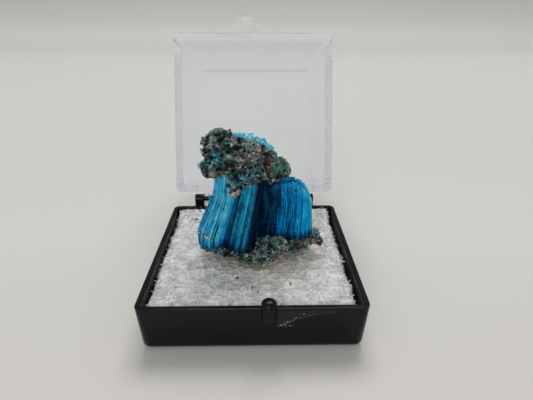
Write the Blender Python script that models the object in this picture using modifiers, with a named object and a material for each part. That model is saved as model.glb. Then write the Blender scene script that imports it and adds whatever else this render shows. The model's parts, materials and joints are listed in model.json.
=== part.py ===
# A chalcanthite thumbnail specimen in its hinged plastic box, with the lid standing open.
# The origin is the centre of the box's underside, +Z is up and +Y points to the hinge.
# Lengths are in metres. The tables marked so are in millimetres, and MM turns them into metres.

import math
import random

import bmesh
import bpy
from mathutils import Matrix, Vector, noise

MM = 0.001

# How far a cutter runs past the face it opens
OVERRUN = 0.001

# Box base. An outline is how far a square reaches sideways, to the front and to the back.
BASE_RIM = (0.0161, -0.01655, 0.0160)
BASE_FOOT = (0.01575, -0.01575, 0.01575)
BASE_HEIGHT = 0.00775
BASE_WALL = 0.0008
BASE_FLOOR = 0.0012
BASE_CORNER = 0.0011
BASE_FOOT_ROUND = 0.0011

# Hinge: two posts with inward pins on the base, two ears on the lid
HINGE_AXIS = Vector((0.0, 0.01715, 0.00883))
HINGE_OPEN = math.radians(110.67)
POST_X = 0.0111
POST_WIDTH = 0.00184
POST_RADIUS = 0.00092
POST_FOOT = 0.0056
POST_SHOULDER = 0.0075
PIN_RADIUS = 0.0005
PIN_REACH = 0.0017
EAR_X = 0.0094
EAR_WIDTH = 0.0014
EAR_RADIUS = 0.0010
EAR_HOLE_RADIUS = 0.0006
EAR_HEEL = 0.0019
EAR_FOOT = 0.00825
STOP_GAP = 0.0001

# Latch: a stud on the base's front wall, held by a fork on the lid
STUD_X = 0.0022
STUD_Y = -0.01695
FORK_GAP_HALF = 0.0012
FORK_PRONG = 0.0008
FORK_REACH = 0.0014
FORK_FOOT = 0.00805
FORK_TOP = 0.00955
STUD_PROFILE = [  # radius and height, millimetres
    (0.0, 9.4),
    (0.55, 9.33),
    (0.85, 9.15),
    (0.95, 8.92),
    (0.95, 8.8),
    (0.84, 8.72),
    (0.84, 8.58),
    (0.93, 8.5),
    (0.93, 6.3),
    (0.0, 6.3),
]

# Box lid, as it sits when closed
LID_RIM = 0.00795
LID_TOP = 0.03305
LID_RIM_HALF = 0.0158
LID_TOP_HALF = 0.0149
LID_WALL = 0.00145
LID_CORNER = 0.0010
LID_TOP_ROUND = 0.0008

# Torn tape on the lid's front wall
TAPE_LEFT = -0.0075
TAPE_RIGHT = -0.0003
TAPE_TOP = 0.0118
TAPE_BEND = 0.0092
TAPE_STUCK_SHARE = 0.4
TAPE_CURL_RADIUS = 0.0015
TAPE_CURL_LEAST = 0.12
TAPE_CURL_FULL_AT = 0.7
TAPE_CURL_TURN = math.radians(155)
TAPE_THICKNESS = 0.00015
TAPE_GAP = 0.00012

# Foam insert
FOAM_LEFT = -0.0150
FOAM_RIGHT = 0.0148
FOAM_FRONT = -0.0153
FOAM_BACK = 0.0149
FOAM_BOTTOM = 0.0015
FOAM_BOTTOM_SHARE = 0.965
FOAM_TOP = 0.0071
FOAM_BACK_RISE = 0.0012
FOAM_RISE_FROM = 0.86
FOAM_EDGE_DROP = 0.0005
FOAM_EDGE_LIMIT = 0.0077
FOAM_LUMP = 0.00045
FOAM_LUMP_SIZE = 0.0016
FOAM_RAGGED = 0.00015
FOAM_CELLS = 20

# Clearance kept between the crystals, the crusts and the foam
GAP = 0.00035

# Crusts: fineness of their surface, and how much of the foam they press down, millimetres
CRUST_VOXEL = 0.0003
CRUST_CRAG_SIZE = 0.0012
CRUST_CRAG_HEIGHT = 0.0012
DENT_MARGIN = 0.8
DENT_DEPTH = 0.35

# Bundles of fibres from the foot up: height, left, right, front and back, millimetres
LEFT_BUNDLE = [
    (10.3, -8.8, -3.9, -4.7, 1.0),
    (12.1, -8.9, -3.5, -4.9, 1.2),
    (14.0, -8.1, -2.9, -4.9, 1.2),
    (16.2, -7.3, -2.4, -4.8, 1.2),
    (18.5, -6.3, -1.9, -4.6, 1.2),
    (20.8, -5.8, -1.5, -4.4, 1.2),
    (22.8, -5.5, -1.2, -4.2, 1.2),
]
MIDDLE_BUNDLE = [
    (10.0, -4.4, 0.0, -5.6, 0.6),
    (12.0, -3.9, 0.3, -5.5, 0.6),
    (14.2, -3.3, 0.6, -5.3, 0.6),
    (16.7, -2.6, 1.0, -5.0, 0.6),
    (19.0, -2.0, 1.4, -4.6, 0.6),
    (21.0, -1.6, 1.6, -4.2, 0.6),
    (22.8, -1.3, 1.7, -4.0, 0.6),
]
RIGHT_BUNDLE = [
    (10.7, 0.6, 9.7, -2.9, 4.4),
    (12.6, 0.8, 9.6, -2.9, 4.5),
    (14.6, 1.2, 9.5, -2.8, 4.5),
    (16.4, 1.7, 9.45, -2.7, 4.0),
    (17.9, 2.2, 8.7, -2.5, 3.0),
    (19.1, 2.7, 7.6, -2.1, 2.3),
    (19.7, 3.6, 6.3, -1.6, 1.5),
]
BACK_BUNDLE = [
    (9.9, -5.6, 5.4, -2.2, 5.4),
    (14.0, -5.6, 5.2, -2.2, 5.6),
    (19.0, -5.2, 4.6, -2.0, 5.6),
    (22.5, -4.8, 3.8, -1.4, 5.2),
    (24.6, -4.5, 2.8, -0.6, 4.8),
    (26.0, -4.2, 1.4, 0.0, 4.4),
    (26.6, -3.6, -0.2, 0.4, 3.8),
]

# Lumps of the crusts: centre x, y, z and radii x, y, z, millimetres
UPPER_LUMPS = [
    (-4.6, -1.7, 26.4, 2.3, 2.1, 1.7),
    (-6.1, -1.2, 26.1, 1.4, 1.8, 1.4),
    (-2.6, -2.0, 25.9, 2.0, 2.0, 1.5),
    (-0.2, -2.0, 24.9, 2.0, 2.0, 1.5),
    (1.9, -2.0, 23.9, 1.9, 1.9, 1.4),
    (3.7, -1.5, 22.9, 1.6, 1.6, 1.0),
    (4.4, -0.9, 22.3, 1.1, 1.3, 0.8),
    (3.6, -1.3, 21.5, 1.4, 1.5, 1.3),
    (4.7, -0.8, 21.6, 0.9, 1.2, 0.9),
    (-5.6, -3.9, 23.6, 1.9, 1.8, 1.4),
    (-3.4, -4.5, 23.8, 2.0, 1.7, 1.3),
    (-1.3, -4.7, 24.3, 1.8, 1.5, 1.1),
    (0.1, -4.9, 24.9, 1.0, 1.0, 0.6),
    (-6.6, -3.2, 25.3, 0.9, 1.2, 0.8),
    (-2.9, -5.0, 20.8, 1.0, 0.8, 0.8),
    (-2.1, -4.8, 22.0, 1.4, 0.9, 1.1),
    (-0.6, -4.6, 22.0, 0.9, 0.8, 1.1),
    (0.9, -4.2, 22.5, 1.2, 0.9, 1.4),
    (2.3, -3.3, 21.6, 0.6, 0.7, 1.4),
    (-5.6, 1.4, 25.1, 1.8, 2.2, 2.0),
    (-5.0, 3.6, 23.8, 1.5, 2.0, 1.8),
    (-2.4, 5.0, 23.3, 2.2, 1.2, 1.5),
    (0.4, 5.0, 22.6, 1.6, 1.1, 1.1),
]
LOWER_LUMPS = [
    (-6.1, -2.2, 9.8, 2.2, 2.7, 0.7),
    (-4.2, -2.8, 9.3, 2.4, 3.0, 0.8),
    (-2.0, -3.1, 8.9, 2.2, 2.8, 1.1),
    (0.4, -3.3, 8.5, 2.0, 2.7, 1.45),
    (1.4, -3.9, 9.5, 1.8, 1.8, 1.8),
    (0.9, -4.4, 8.1, 1.6, 1.3, 1.0),
    (3.6, -3.5, 9.7, 2.0, 1.7, 1.8),
    (5.8, -2.5, 9.6, 2.0, 1.8, 1.5),
    (7.8, -1.4, 9.7, 1.8, 2.0, 1.2),
    (9.5, -0.8, 10.0, 1.4, 1.4, 1.1),
    (10.5, -0.9, 9.5, 0.8, 0.8, 0.7),
    (-5.0, 2.0, 9.4, 2.6, 2.6, 0.9),
    (-1.0, 2.4, 8.8, 3.2, 3.2, 1.4),
    (3.2, 2.0, 8.8, 3.4, 3.2, 1.6),
    (6.8, 1.6, 9.6, 2.6, 2.8, 1.2),
]

# Top of the granular blue cap behind the upper crust: x and height, millimetres
CAP_LINE = [(-3.7, 26.9), (-0.4, 26.9), (1.8, 25.9), (3.0, 24.6), (3.5, 23.4)]
CAP_LEFT = -3.1
CAP_RIGHT = 2.9
CAP_FRONT = 1.0
CAP_BACK = 3.9
CAP_CRYSTAL_HEIGHT = 3.0


def clear_scene():
    for old in list(bpy.data.objects):
        bpy.data.objects.remove(old, do_unlink=True)


def add_collection(name, within, hidden=False):
    made = bpy.data.collections.new(name)
    within.children.link(made)
    made.hide_render = hidden
    return made


def add_material(name, colour, roughness, metallic=0.0, transmission=0.0, ior=1.5):
    made = bpy.data.materials.new(name)
    made.use_nodes = True
    shader = made.node_tree.nodes["Principled BSDF"]
    shader.inputs["Base Color"].default_value = (*colour, 1.0)
    shader.inputs["Roughness"].default_value = roughness
    shader.inputs["Metallic"].default_value = metallic
    shader.inputs["Transmission Weight"].default_value = transmission
    shader.inputs["IOR"].default_value = ior
    return made


def add_object(name, mesh, collection, material=None):
    made = bpy.data.objects.new(name, mesh)
    collection.objects.link(made)
    if material:
        mesh.materials.append(material)
    return made


def to_mesh(shape, name):
    mesh = bpy.data.meshes.new(name)
    bmesh.ops.recalc_face_normals(shape, faces=shape.faces)
    shape.to_mesh(mesh)
    shape.free()
    return mesh


def add_helper(name, shape, collection, parent=None):
    helper = add_object(name, to_mesh(shape, name), collection)
    helper.hide_render = True
    helper.display_type = "WIRE"
    helper.parent = parent
    return helper


def boolean(target, operation, helper, solver="EXACT"):
    cut = target.modifiers.new(helper.name, "BOOLEAN")
    cut.operation = operation
    cut.solver = solver
    cut.object = helper


# Shapes that repeat


def square(half):
    return half, -half, half


def inset_outline(outline, wall):
    side, front, back = outline
    return side - wall, front + wall, back - wall


def outline_between(lower, upper, share):
    return tuple(a + (b - a) * share for a, b in zip(lower, upper))


def tapered_block(outline_low, outline_high, low, high, corner, round_level=None, rounding=0.0):
    """A block with a different outline at each end, rounded uprights, and one end rounded too."""
    shape = bmesh.new()
    bmesh.ops.create_cube(shape, size=2.0)
    for vert in shape.verts:
        outline, level = (outline_high, high) if vert.co.z > 0 else (outline_low, low)
        side, front, back = outline
        vert.co = Vector((vert.co.x * side, back if vert.co.y > 0 else front, level))
    uprights = [e for e in shape.edges if e.verts[0].co.z != e.verts[1].co.z]
    bmesh.ops.bevel(
        shape, geom=uprights, offset=corner, segments=3, profile=0.5, affect="EDGES"
    )
    if rounding:
        end = [e for e in shape.edges if all(v.co.z == round_level for v in e.verts)]
        bmesh.ops.bevel(
            shape, geom=end, offset=rounding, segments=2, profile=0.5, affect="EDGES"
        )
    return shape


def box_between(low, high):
    shape = bmesh.new()
    bmesh.ops.create_cube(shape, size=1.0)
    size = Vector(high) - Vector(low)
    middle = (Vector(high) + Vector(low)) / 2
    bmesh.ops.transform(
        shape, matrix=Matrix.Translation(middle) @ Matrix.Diagonal((*size, 1.0)), verts=shape.verts
    )
    return shape


def rod_along_x(centre, radius, length, sides):
    shape = bmesh.new()
    turn = Matrix.Rotation(math.pi / 2, 4, "Y")
    bmesh.ops.create_cone(
        shape,
        cap_ends=True,
        segments=sides,
        radius1=radius,
        radius2=radius,
        depth=length,
        matrix=Matrix.Translation(centre) @ turn,
    )
    return shape


def shift(shape, by):
    bmesh.ops.translate(shape, vec=by, verts=shape.verts)
    return shape


def settled_mesh(rough):
    """The object's mesh after its modifiers, without loose crumbs or the skins of sealed pockets."""
    graph = bpy.context.evaluated_depsgraph_get()
    mesh = bpy.data.meshes.new_from_object(rough.evaluated_get(graph))
    bpy.data.objects.remove(rough, do_unlink=True)
    mesh.materials.clear()
    shape = bmesh.new()
    shape.from_mesh(mesh)
    left, bodies = set(shape.verts), []
    while left:
        body, front = set(), [left.pop()]
        while front:
            vert = front.pop()
            body.add(vert)
            near = {e.other_vert(vert) for e in vert.link_edges} & left
            left -= near
            front.extend(near)
        bodies.append(body)
    largest = max(bodies, key=len)
    bmesh.ops.delete(shape, geom=[v for v in shape.verts if v not in largest], context="VERTS")
    shape.to_mesh(mesh)
    shape.free()
    return mesh


# Box base


def make_base(parts, helpers, material):
    body = tapered_block(BASE_FOOT, BASE_RIM, 0.0, BASE_HEIGHT, BASE_CORNER, 0.0, BASE_FOOT_ROUND)
    base = add_object("box_base", to_mesh(body, "box_base"), parts, material)
    cavity_top = BASE_HEIGHT + OVERRUN
    low_outline = outline_between(BASE_FOOT, BASE_RIM, BASE_FLOOR / BASE_HEIGHT)
    high_outline = outline_between(BASE_FOOT, BASE_RIM, cavity_top / BASE_HEIGHT)
    cavity = tapered_block(
        inset_outline(low_outline, BASE_WALL),
        inset_outline(high_outline, BASE_WALL),
        BASE_FLOOR,
        cavity_top,
        BASE_CORNER / 2,
        BASE_FLOOR,
        BASE_CORNER / 2,
    )
    boolean(base, "DIFFERENCE", add_helper("tray_cavity", cavity, helpers))
    for side in (-1, 1):
        for name, shape in hinge_post(side):
            boolean(base, "UNION", add_helper(name, shape, helpers))
    boolean(base, "UNION", latch_stud(helpers))
    return base


def hinge_post(side):
    """A post's round head, its body down the back wall, and its pin towards the middle."""
    which = "right" if side > 0 else "left"
    back = BASE_RIM[2]
    x = side * POST_X
    head = rod_along_x((x, HINGE_AXIS.y, HINGE_AXIS.z), POST_RADIUS, POST_WIDTH, 20)
    body = box_between(
        (x - POST_WIDTH / 2, back - BASE_WALL / 2, POST_FOOT),
        (x + POST_WIDTH / 2, HINGE_AXIS.y + POST_RADIUS * 0.98, HINGE_AXIS.z),
    )
    for vert in body.verts:
        if vert.co.y < back and vert.co.z > POST_FOOT:
            vert.co.z = POST_SHOULDER
        if vert.co.y > back and vert.co.z <= POST_FOOT:
            vert.co.z += HINGE_AXIS.y + POST_RADIUS - back
    pin_start = side * (POST_X - POST_WIDTH / 2 - PIN_REACH)
    pin_end = side * POST_X
    pin_centre = ((pin_start + pin_end) / 2, HINGE_AXIS.y, HINGE_AXIS.z)
    pin = rod_along_x(pin_centre, PIN_RADIUS, abs(pin_end - pin_start), 16)
    return (f"{which}_post_head", head), (f"{which}_post", body), (f"{which}_pin", pin)


def latch_stud(helpers):
    profile = bpy.data.meshes.new("latch_stud")
    points = [(radius * MM, 0.0, height * MM) for radius, height in STUD_PROFILE]
    profile.from_pydata(points, [(i, i + 1) for i in range(len(points) - 1)], [])
    stud = add_object("latch_stud", profile, helpers)
    stud.location = (STUD_X, STUD_Y, 0.0)
    stud.hide_render = True
    stud.display_type = "WIRE"
    turned = stud.modifiers.new("turned", "SCREW")
    turned.angle = 2 * math.pi
    turned.steps = turned.render_steps = 20
    turned.use_merge_vertices = True
    turned.merge_threshold = 0.00001
    return stud


# Box lid, modelled closed about its hinge axis and then opened


def make_lid(parts, helpers, material):
    body = tapered_block(
        square(LID_RIM_HALF),
        square(LID_TOP_HALF),
        LID_RIM,
        LID_TOP,
        LID_CORNER,
        LID_TOP,
        LID_TOP_ROUND,
    )
    lid = add_object("box_lid", to_mesh(shift(body, -HINGE_AXIS), "box_lid"), parts, material)
    lid.location = HINGE_AXIS
    lid.rotation_euler.x = -HINGE_OPEN
    taper = (LID_RIM_HALF - LID_TOP_HALF) / (LID_TOP - LID_RIM)
    mouth = LID_RIM - OVERRUN
    ceiling = LID_TOP - LID_WALL
    room = tapered_block(
        square(LID_RIM_HALF + taper * (LID_RIM - mouth) - LID_WALL),
        square(LID_TOP_HALF + taper * LID_WALL - LID_WALL),
        mouth,
        ceiling,
        LID_CORNER / 2,
        ceiling,
        LID_CORNER / 2,
    )
    boolean(lid, "DIFFERENCE", add_helper("lid_room", shift(room, -HINGE_AXIS), helpers, lid))
    for name, operation, shape in (*hinge_ears(), *latch_fork()):
        helper = add_helper(name, shift(shape, -HINGE_AXIS), helpers, lid)
        boolean(lid, operation, helper)
    return lid


def hinge_ears():
    made = []
    for side in (-1, 1):
        which = "right" if side > 0 else "left"
        centre = Vector((side * EAR_X, HINGE_AXIS.y, HINGE_AXIS.z))
        half = Vector((EAR_WIDTH / 2, 0.0, 0.0))
        barrel = rod_along_x(centre, EAR_RADIUS, EAR_WIDTH, 20)
        arm_low = (centre.x - half.x, LID_RIM_HALF - LID_WALL / 2, EAR_FOOT)
        arm_high = (centre.x + half.x, centre.y, centre.z + EAR_RADIUS * 0.98)
        heel = box_between(
            centre + Vector((-half.x, BASE_RIM[2] - HINGE_AXIS.y + STOP_GAP, -EAR_HEEL)),
            centre + half,
        )
        closing = (
            Matrix.Translation(centre)
            @ Matrix.Rotation(HINGE_OPEN, 4, "X")
            @ Matrix.Translation(-centre)
        )
        bmesh.ops.transform(heel, matrix=closing, verts=heel.verts)
        hole = rod_along_x(centre, EAR_HOLE_RADIUS, EAR_WIDTH * 1.5, 16)
        made.append((f"{which}_ear_barrel", "UNION", barrel))
        made.append((f"{which}_ear_arm", "UNION", box_between(arm_low, arm_high)))
        made.append((f"{which}_ear_heel", "UNION", heel))
        made.append((f"{which}_ear_hole", "DIFFERENCE", hole))
    return made


def latch_fork():
    made = []
    for side in (-1, 1):
        which = "right" if side > 0 else "left"
        inner = STUD_X + side * FORK_GAP_HALF
        outer = inner + side * FORK_PRONG
        low = (min(inner, outer), -LID_RIM_HALF - FORK_REACH, FORK_FOOT)
        high = (max(inner, outer), -LID_RIM_HALF + LID_WALL / 2, FORK_TOP)
        made.append((f"{which}_prong", "UNION", box_between(low, high)))
    return made


# Torn tape, flat on the lid's front wall and then curled away from it


def make_tape(parts, material):
    shape = bmesh.new()
    bmesh.ops.create_grid(shape, x_segments=6, y_segments=12, size=0.5)
    taper = (LID_RIM_HALF - LID_TOP_HALF) / (LID_TOP - LID_RIM)
    for vert in shape.verts:
        across = vert.co.x + 0.5
        along = vert.co.y + 0.5
        x = TAPE_LEFT + across * (TAPE_RIGHT - TAPE_LEFT)
        widening = min(1.0, across / TAPE_CURL_FULL_AT)
        curl = TAPE_CURL_RADIUS * (TAPE_CURL_LEAST + (1 - TAPE_CURL_LEAST) * widening)
        if along <= TAPE_STUCK_SHARE:
            z = TAPE_TOP + (TAPE_BEND - TAPE_TOP) * along / TAPE_STUCK_SHARE
            y = -LID_RIM_HALF + taper * (z - LID_RIM) - TAPE_GAP
        else:
            turn = TAPE_CURL_TURN * (along - TAPE_STUCK_SHARE) / (1 - TAPE_STUCK_SHARE)
            y = -LID_RIM_HALF - TAPE_GAP - curl * (1 - math.cos(turn))
            z = TAPE_BEND - curl * math.sin(turn)
        vert.co = Vector((x, y - TAPE_THICKNESS / 2, z)) - HINGE_AXIS
    tape = add_object("torn_tape", to_mesh(shape, "torn_tape"), parts, material)
    tape.location = HINGE_AXIS
    tape.rotation_euler.x = -HINGE_OPEN
    film = tape.modifiers.new("film", "SOLIDIFY")
    film.thickness = TAPE_THICKNESS
    film.offset = 0.0
    return tape


# Foam insert


def foam_limit(x, y):
    """The highest that the foam may reach under the lower crust."""
    limit = math.inf
    for cx, cy, cz, rx, ry, rz in LOWER_LUMPS:
        across = (x / MM - cx) / (rx + DENT_MARGIN)
        along = (y / MM - cy) / (ry + DENT_MARGIN)
        if across**2 + along**2 < 1:
            under = cz - (rz + DENT_DEPTH) * math.sqrt(1 - across**2 - along**2)
            limit = min(limit, under * MM - GAP)
    return limit


def make_foam(parts, material):
    shape = bmesh.new()
    bmesh.ops.create_grid(shape, x_segments=FOAM_CELLS, y_segments=FOAM_CELLS, size=0.5)
    border = [e for e in shape.edges if e.is_boundary]
    skirt = bmesh.ops.extrude_edge_only(shape, edges=border)["geom"]
    bottom = {v for v in skirt if isinstance(v, bmesh.types.BMVert)}
    bmesh.ops.contextual_create(
        shape, geom=[e for e in skirt if isinstance(e, bmesh.types.BMEdge) and e.is_boundary]
    )
    width, depth = FOAM_RIGHT - FOAM_LEFT, FOAM_BACK - FOAM_FRONT
    for vert in shape.verts:
        across, along = vert.co.x + 0.5, vert.co.y + 0.5
        x = FOAM_LEFT + across * width
        y = FOAM_FRONT + along * depth
        grain = noise.noise_vector(Vector((x, y, 0.0)) / FOAM_LUMP_SIZE)
        on_edge = min(across, 1 - across, along, 1 - along) < 0.5 / FOAM_CELLS
        x += FOAM_RAGGED * grain.x
        y += FOAM_RAGGED * grain.y
        if vert in bottom:
            x *= FOAM_BOTTOM_SHARE
            y *= FOAM_BOTTOM_SHARE
            z = FOAM_BOTTOM
        else:
            rise = FOAM_BACK_RISE * max(0.0, (along - FOAM_RISE_FROM) / (1 - FOAM_RISE_FROM))
            z = min(FOAM_TOP + rise + FOAM_LUMP * grain.z, foam_limit(x, y))
            if on_edge:
                z = min(z - FOAM_EDGE_DROP, FOAM_EDGE_LIMIT)
        vert.co = Vector((x, y, z))
    return add_object("foam_insert", to_mesh(shape, "foam_insert"), parts, material)


# Crystals


def bundle_shape(stations, blades, seed, grow=0.0):
    """Lofts a ring of flat-faced blades, with a groove between each two, through the stations."""
    rng = random.Random(seed)
    widths = [rng.uniform(0.6, 1.5) for _ in range(blades)]
    grooves = [rng.uniform(0.08, 0.2) for _ in range(blades)]
    proud = [rng.uniform(-0.04, 0.07) for _ in range(blades)]
    ends = [rng.uniform(-0.45, 0.35) for _ in range(blades)]
    if grow:
        grooves = [0.0] * blades
        proud = [0.07] * blades
        ends = [0.0] * blades
    shape = bmesh.new()
    rings = []
    last = len(stations) - 1
    for index, (z, left, right, front, back) in enumerate(stations):
        rise = {0: -grow, last: grow}.get(index, 0.0)
        ring, angle = [], math.pi
        for width, groove, bulge, end in zip(widths, grooves, proud, ends):
            span = 2 * math.pi * width / sum(widths)
            for part, factor in ((0.0, 1 - groove), (0.18, 1 + bulge), (0.82, 1 + bulge)):
                turn = angle + part * span
                across = math.copysign(abs(math.cos(turn)) ** 0.75, math.cos(turn))
                along = math.copysign(abs(math.sin(turn)) ** 0.75, math.sin(turn))
                half_x = (right - left) / 2 * MM * factor + grow
                half_y = (back - front) / 2 * MM * factor + grow
                tip = end * MM if index == last else 0.0
                ring.append(
                    shape.verts.new(
                        (
                            (left + right) / 2 * MM + across * half_x,
                            (front + back) / 2 * MM + along * half_y,
                            z * MM + rise + tip,
                        )
                    )
                )
            angle += span
        rings.append(ring)
    for lower, upper in zip(rings, rings[1:]):
        for i in range(len(lower)):
            j = (i + 1) % len(lower)
            shape.faces.new((lower[i], lower[j], upper[j], upper[i]))
    for ring in (rings[0], rings[-1]):
        centre = sum((v.co for v in ring), Vector()) / len(ring)
        hub = shape.verts.new(centre)
        for i in range(len(ring)):
            shape.faces.new((ring[i], ring[(i + 1) % len(ring)], hub))
    return shape


def cap_height(x):
    for (x0, z0), (x1, z1) in zip(CAP_LINE, CAP_LINE[1:]):
        if x <= x1:
            return z0 + (z1 - z0) * max(0.0, x - x0) / (x1 - x0)
    return CAP_LINE[-1][1]


def cap_crystals(count, seed):
    """Short six-sided crystals that stand out of the cap, each from well inside the back bundle."""
    rng = random.Random(seed)
    made = []
    for index in range(count):
        across = CAP_LEFT + (CAP_RIGHT - CAP_LEFT) * (index + 0.5) / count
        along = rng.uniform(CAP_FRONT, CAP_BACK)
        radius = rng.uniform(0.42, 0.66)
        top = cap_height(across) + rng.uniform(-0.25, 0.15)
        lean = Matrix.Rotation(math.radians(rng.uniform(-9, 9)), 4, "Y")
        spin = Matrix.Rotation(rng.uniform(0, math.pi), 4, "Z")
        place = Matrix.Translation((across * MM, along * MM, (top - CAP_CRYSTAL_HEIGHT / 2) * MM))
        prism = bmesh.new()
        bmesh.ops.create_cone(
            prism,
            cap_ends=True,
            segments=6,
            radius1=radius * MM,
            radius2=radius * MM * 0.72,
            depth=CAP_CRYSTAL_HEIGHT * MM,
            matrix=place @ lean @ spin,
        )
        made.append(prism)
    return made


BUNDLES = {
    "left_bundle": (LEFT_BUNDLE, 13, 3),
    "middle_bundle": (MIDDLE_BUNDLE, 12, 5),
    "right_bundle": (RIGHT_BUNDLE, 17, 8),
    "back_bundle": (BACK_BUNDLE, 17, 13),
}


def make_crystals(parts, helpers, material):
    stations, blades, seed = BUNDLES["back_bundle"]
    mesh = to_mesh(bundle_shape(stations, blades, seed), "back_bundle")
    crystals = add_object("back_bundle", mesh, helpers)
    for name in ("right_bundle", "left_bundle", "middle_bundle"):
        stations, blades, seed = BUNDLES[name]
        helper = add_helper(name, bundle_shape(stations, blades, seed), helpers)
        boolean(crystals, "UNION", helper, "MANIFOLD")
    for index, prism in enumerate(cap_crystals(14, 21)):
        helper = add_helper(f"cap_crystal_{index}", prism, helpers)
        boolean(crystals, "UNION", helper, "MANIFOLD")
    return add_object("chalcanthite_crystals", settled_mesh(crystals), parts, material)


# Crusts of matrix


def crust_shape(lumps, rubble, seed):
    """Overlapping lumps with smaller rubble on them, still as separate closed balls."""
    rng = random.Random(seed)
    shape = bmesh.new()
    for x, y, z, rx, ry, rz in lumps:
        place = Matrix.Translation((x * MM, y * MM, z * MM))
        size = Matrix.Diagonal((rx * MM, ry * MM, rz * MM, 1.0))
        bmesh.ops.create_icosphere(shape, subdivisions=3, radius=1.0, matrix=place @ size)
    for _ in range(rubble):
        x, y, z, rx, ry, rz = rng.choice(lumps)
        out = Vector((rng.gauss(0, 1), rng.gauss(0, 1), rng.gauss(0, 1))).normalized()
        radius = rng.uniform(0.4, 0.85)
        centre = Vector((x + out.x * rx * 0.9, y + out.y * ry * 0.9, z + out.z * rz * 0.9)) * MM
        turn = Matrix.Rotation(rng.uniform(0, math.pi), 4, out)
        size = Matrix.Diagonal((radius * MM, radius * MM * 0.8, radius * MM * 0.6, 1.0))
        bmesh.ops.create_icosphere(
            shape, subdivisions=2, radius=1.0, matrix=Matrix.Translation(centre) @ turn @ size
        )
    return shape


def make_crust(name, lumps, rubble, seed, keep, rooms, parts, helpers, material):
    rough = add_object(f"{name}_rough", to_mesh(crust_shape(lumps, rubble, seed), name), helpers)
    fuse = rough.modifiers.new("fuse", "REMESH")
    fuse.mode = "VOXEL"
    fuse.voxel_size = CRUST_VOXEL
    crags = bpy.data.textures.new(f"{name}_crags", "VORONOI")
    crags.noise_scale = CRUST_CRAG_SIZE
    pitted = rough.modifiers.new("pitted", "DISPLACE")
    pitted.texture = crags
    pitted.texture_coords = "LOCAL"
    pitted.strength = CRUST_CRAG_HEIGHT
    pitted.mid_level = 0.4
    thin = rough.modifiers.new("thin", "DECIMATE")
    thin.ratio = keep
    for room in rooms:
        boolean(rough, "DIFFERENCE", room)
    return add_object(name, settled_mesh(rough), parts, material)


def main():
    clear_scene()
    scene = bpy.context.scene.collection
    parts = add_collection("chalcanthite_specimen", scene)
    helpers = add_collection("cutters", scene, hidden=True)
    black = add_material("black_styrene", (0.015, 0.016, 0.019), 0.25)
    clear = add_material("clear_styrene", (0.95, 0.96, 1.0), 0.05, transmission=1.0, ior=1.59)
    film = add_material("clear_film", (0.9, 0.9, 0.92), 0.2, transmission=0.8, ior=1.45)
    white = add_material("white_foam", (0.85, 0.86, 0.86), 0.6)
    crust = add_material("green_grey_crust", (0.09, 0.11, 0.095), 0.85)
    blue = add_material("chalcanthite_blue", (0.0, 0.22, 0.55), 0.3)

    make_base(parts, helpers, black)
    make_lid(parts, helpers, clear)
    make_tape(parts, film)
    make_foam(parts, white)
    make_crystals(parts, helpers, blue)
    rooms = [
        add_helper(f"{name}_room", bundle_shape(stations, blades, seed, GAP), helpers)
        for name, (stations, blades, seed) in BUNDLES.items()
    ]
    make_crust("upper_matrix", UPPER_LUMPS, 90, 4, 0.145, rooms, parts, helpers, crust)
    make_crust("lower_matrix", LOWER_LUMPS, 70, 9, 0.105, rooms, parts, helpers, crust)


main()
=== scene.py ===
import json
import math

import bmesh
import bpy
import numpy as np
from mathutils import Matrix, Vector, noise
from mathutils.bvhtree import BVHTree

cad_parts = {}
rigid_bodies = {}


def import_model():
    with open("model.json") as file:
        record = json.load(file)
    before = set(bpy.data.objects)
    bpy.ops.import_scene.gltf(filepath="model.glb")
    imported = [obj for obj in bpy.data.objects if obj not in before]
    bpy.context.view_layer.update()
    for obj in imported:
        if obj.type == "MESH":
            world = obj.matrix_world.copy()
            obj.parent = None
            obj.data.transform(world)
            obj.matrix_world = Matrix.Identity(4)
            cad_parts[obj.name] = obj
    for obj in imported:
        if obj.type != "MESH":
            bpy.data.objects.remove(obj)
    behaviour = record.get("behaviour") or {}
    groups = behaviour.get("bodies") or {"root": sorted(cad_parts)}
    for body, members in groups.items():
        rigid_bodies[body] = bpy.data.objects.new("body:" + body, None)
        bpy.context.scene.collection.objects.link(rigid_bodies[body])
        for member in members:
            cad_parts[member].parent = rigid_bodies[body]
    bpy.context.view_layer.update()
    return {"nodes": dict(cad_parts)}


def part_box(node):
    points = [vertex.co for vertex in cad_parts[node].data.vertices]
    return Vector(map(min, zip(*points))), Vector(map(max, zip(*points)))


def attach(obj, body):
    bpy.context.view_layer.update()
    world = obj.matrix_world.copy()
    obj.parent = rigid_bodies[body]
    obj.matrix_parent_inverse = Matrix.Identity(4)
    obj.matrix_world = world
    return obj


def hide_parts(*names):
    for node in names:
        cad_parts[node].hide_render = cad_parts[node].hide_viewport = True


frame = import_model()
mm = 0.001  # sizes below are in millimetres unless a note says otherwise


# Small helpers for working as by hand

def pickNothing():
    bpy.ops.object.select_all(action="DESELECT")
    bpy.context.view_layer.objects.active = None


def pick(piece):
    pickNothing()
    piece.select_set(True)
    bpy.context.view_layer.objects.active = piece


def pickWhere(kind, test):
    # kind is VERT, EDGE or FACE, and test takes one of them
    bpy.ops.mesh.select_mode(type=kind)
    form = bmesh.from_edit_mesh(bpy.context.edit_object.data)
    for part in (*form.faces, *form.edges, *form.verts):
        part.select = False
    for part in {"VERT": form.verts, "EDGE": form.edges, "FACE": form.faces}[kind]:
        if test(part):
            part.select_set(True)
    form.select_flush_mode()
    bmesh.update_edit_mesh(bpy.context.edit_object.data)


def startEditing(piece):
    pick(piece)
    bpy.ops.object.mode_set(mode="EDIT")


def stopEditing():
    bpy.ops.object.mode_set(mode="OBJECT")


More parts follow.
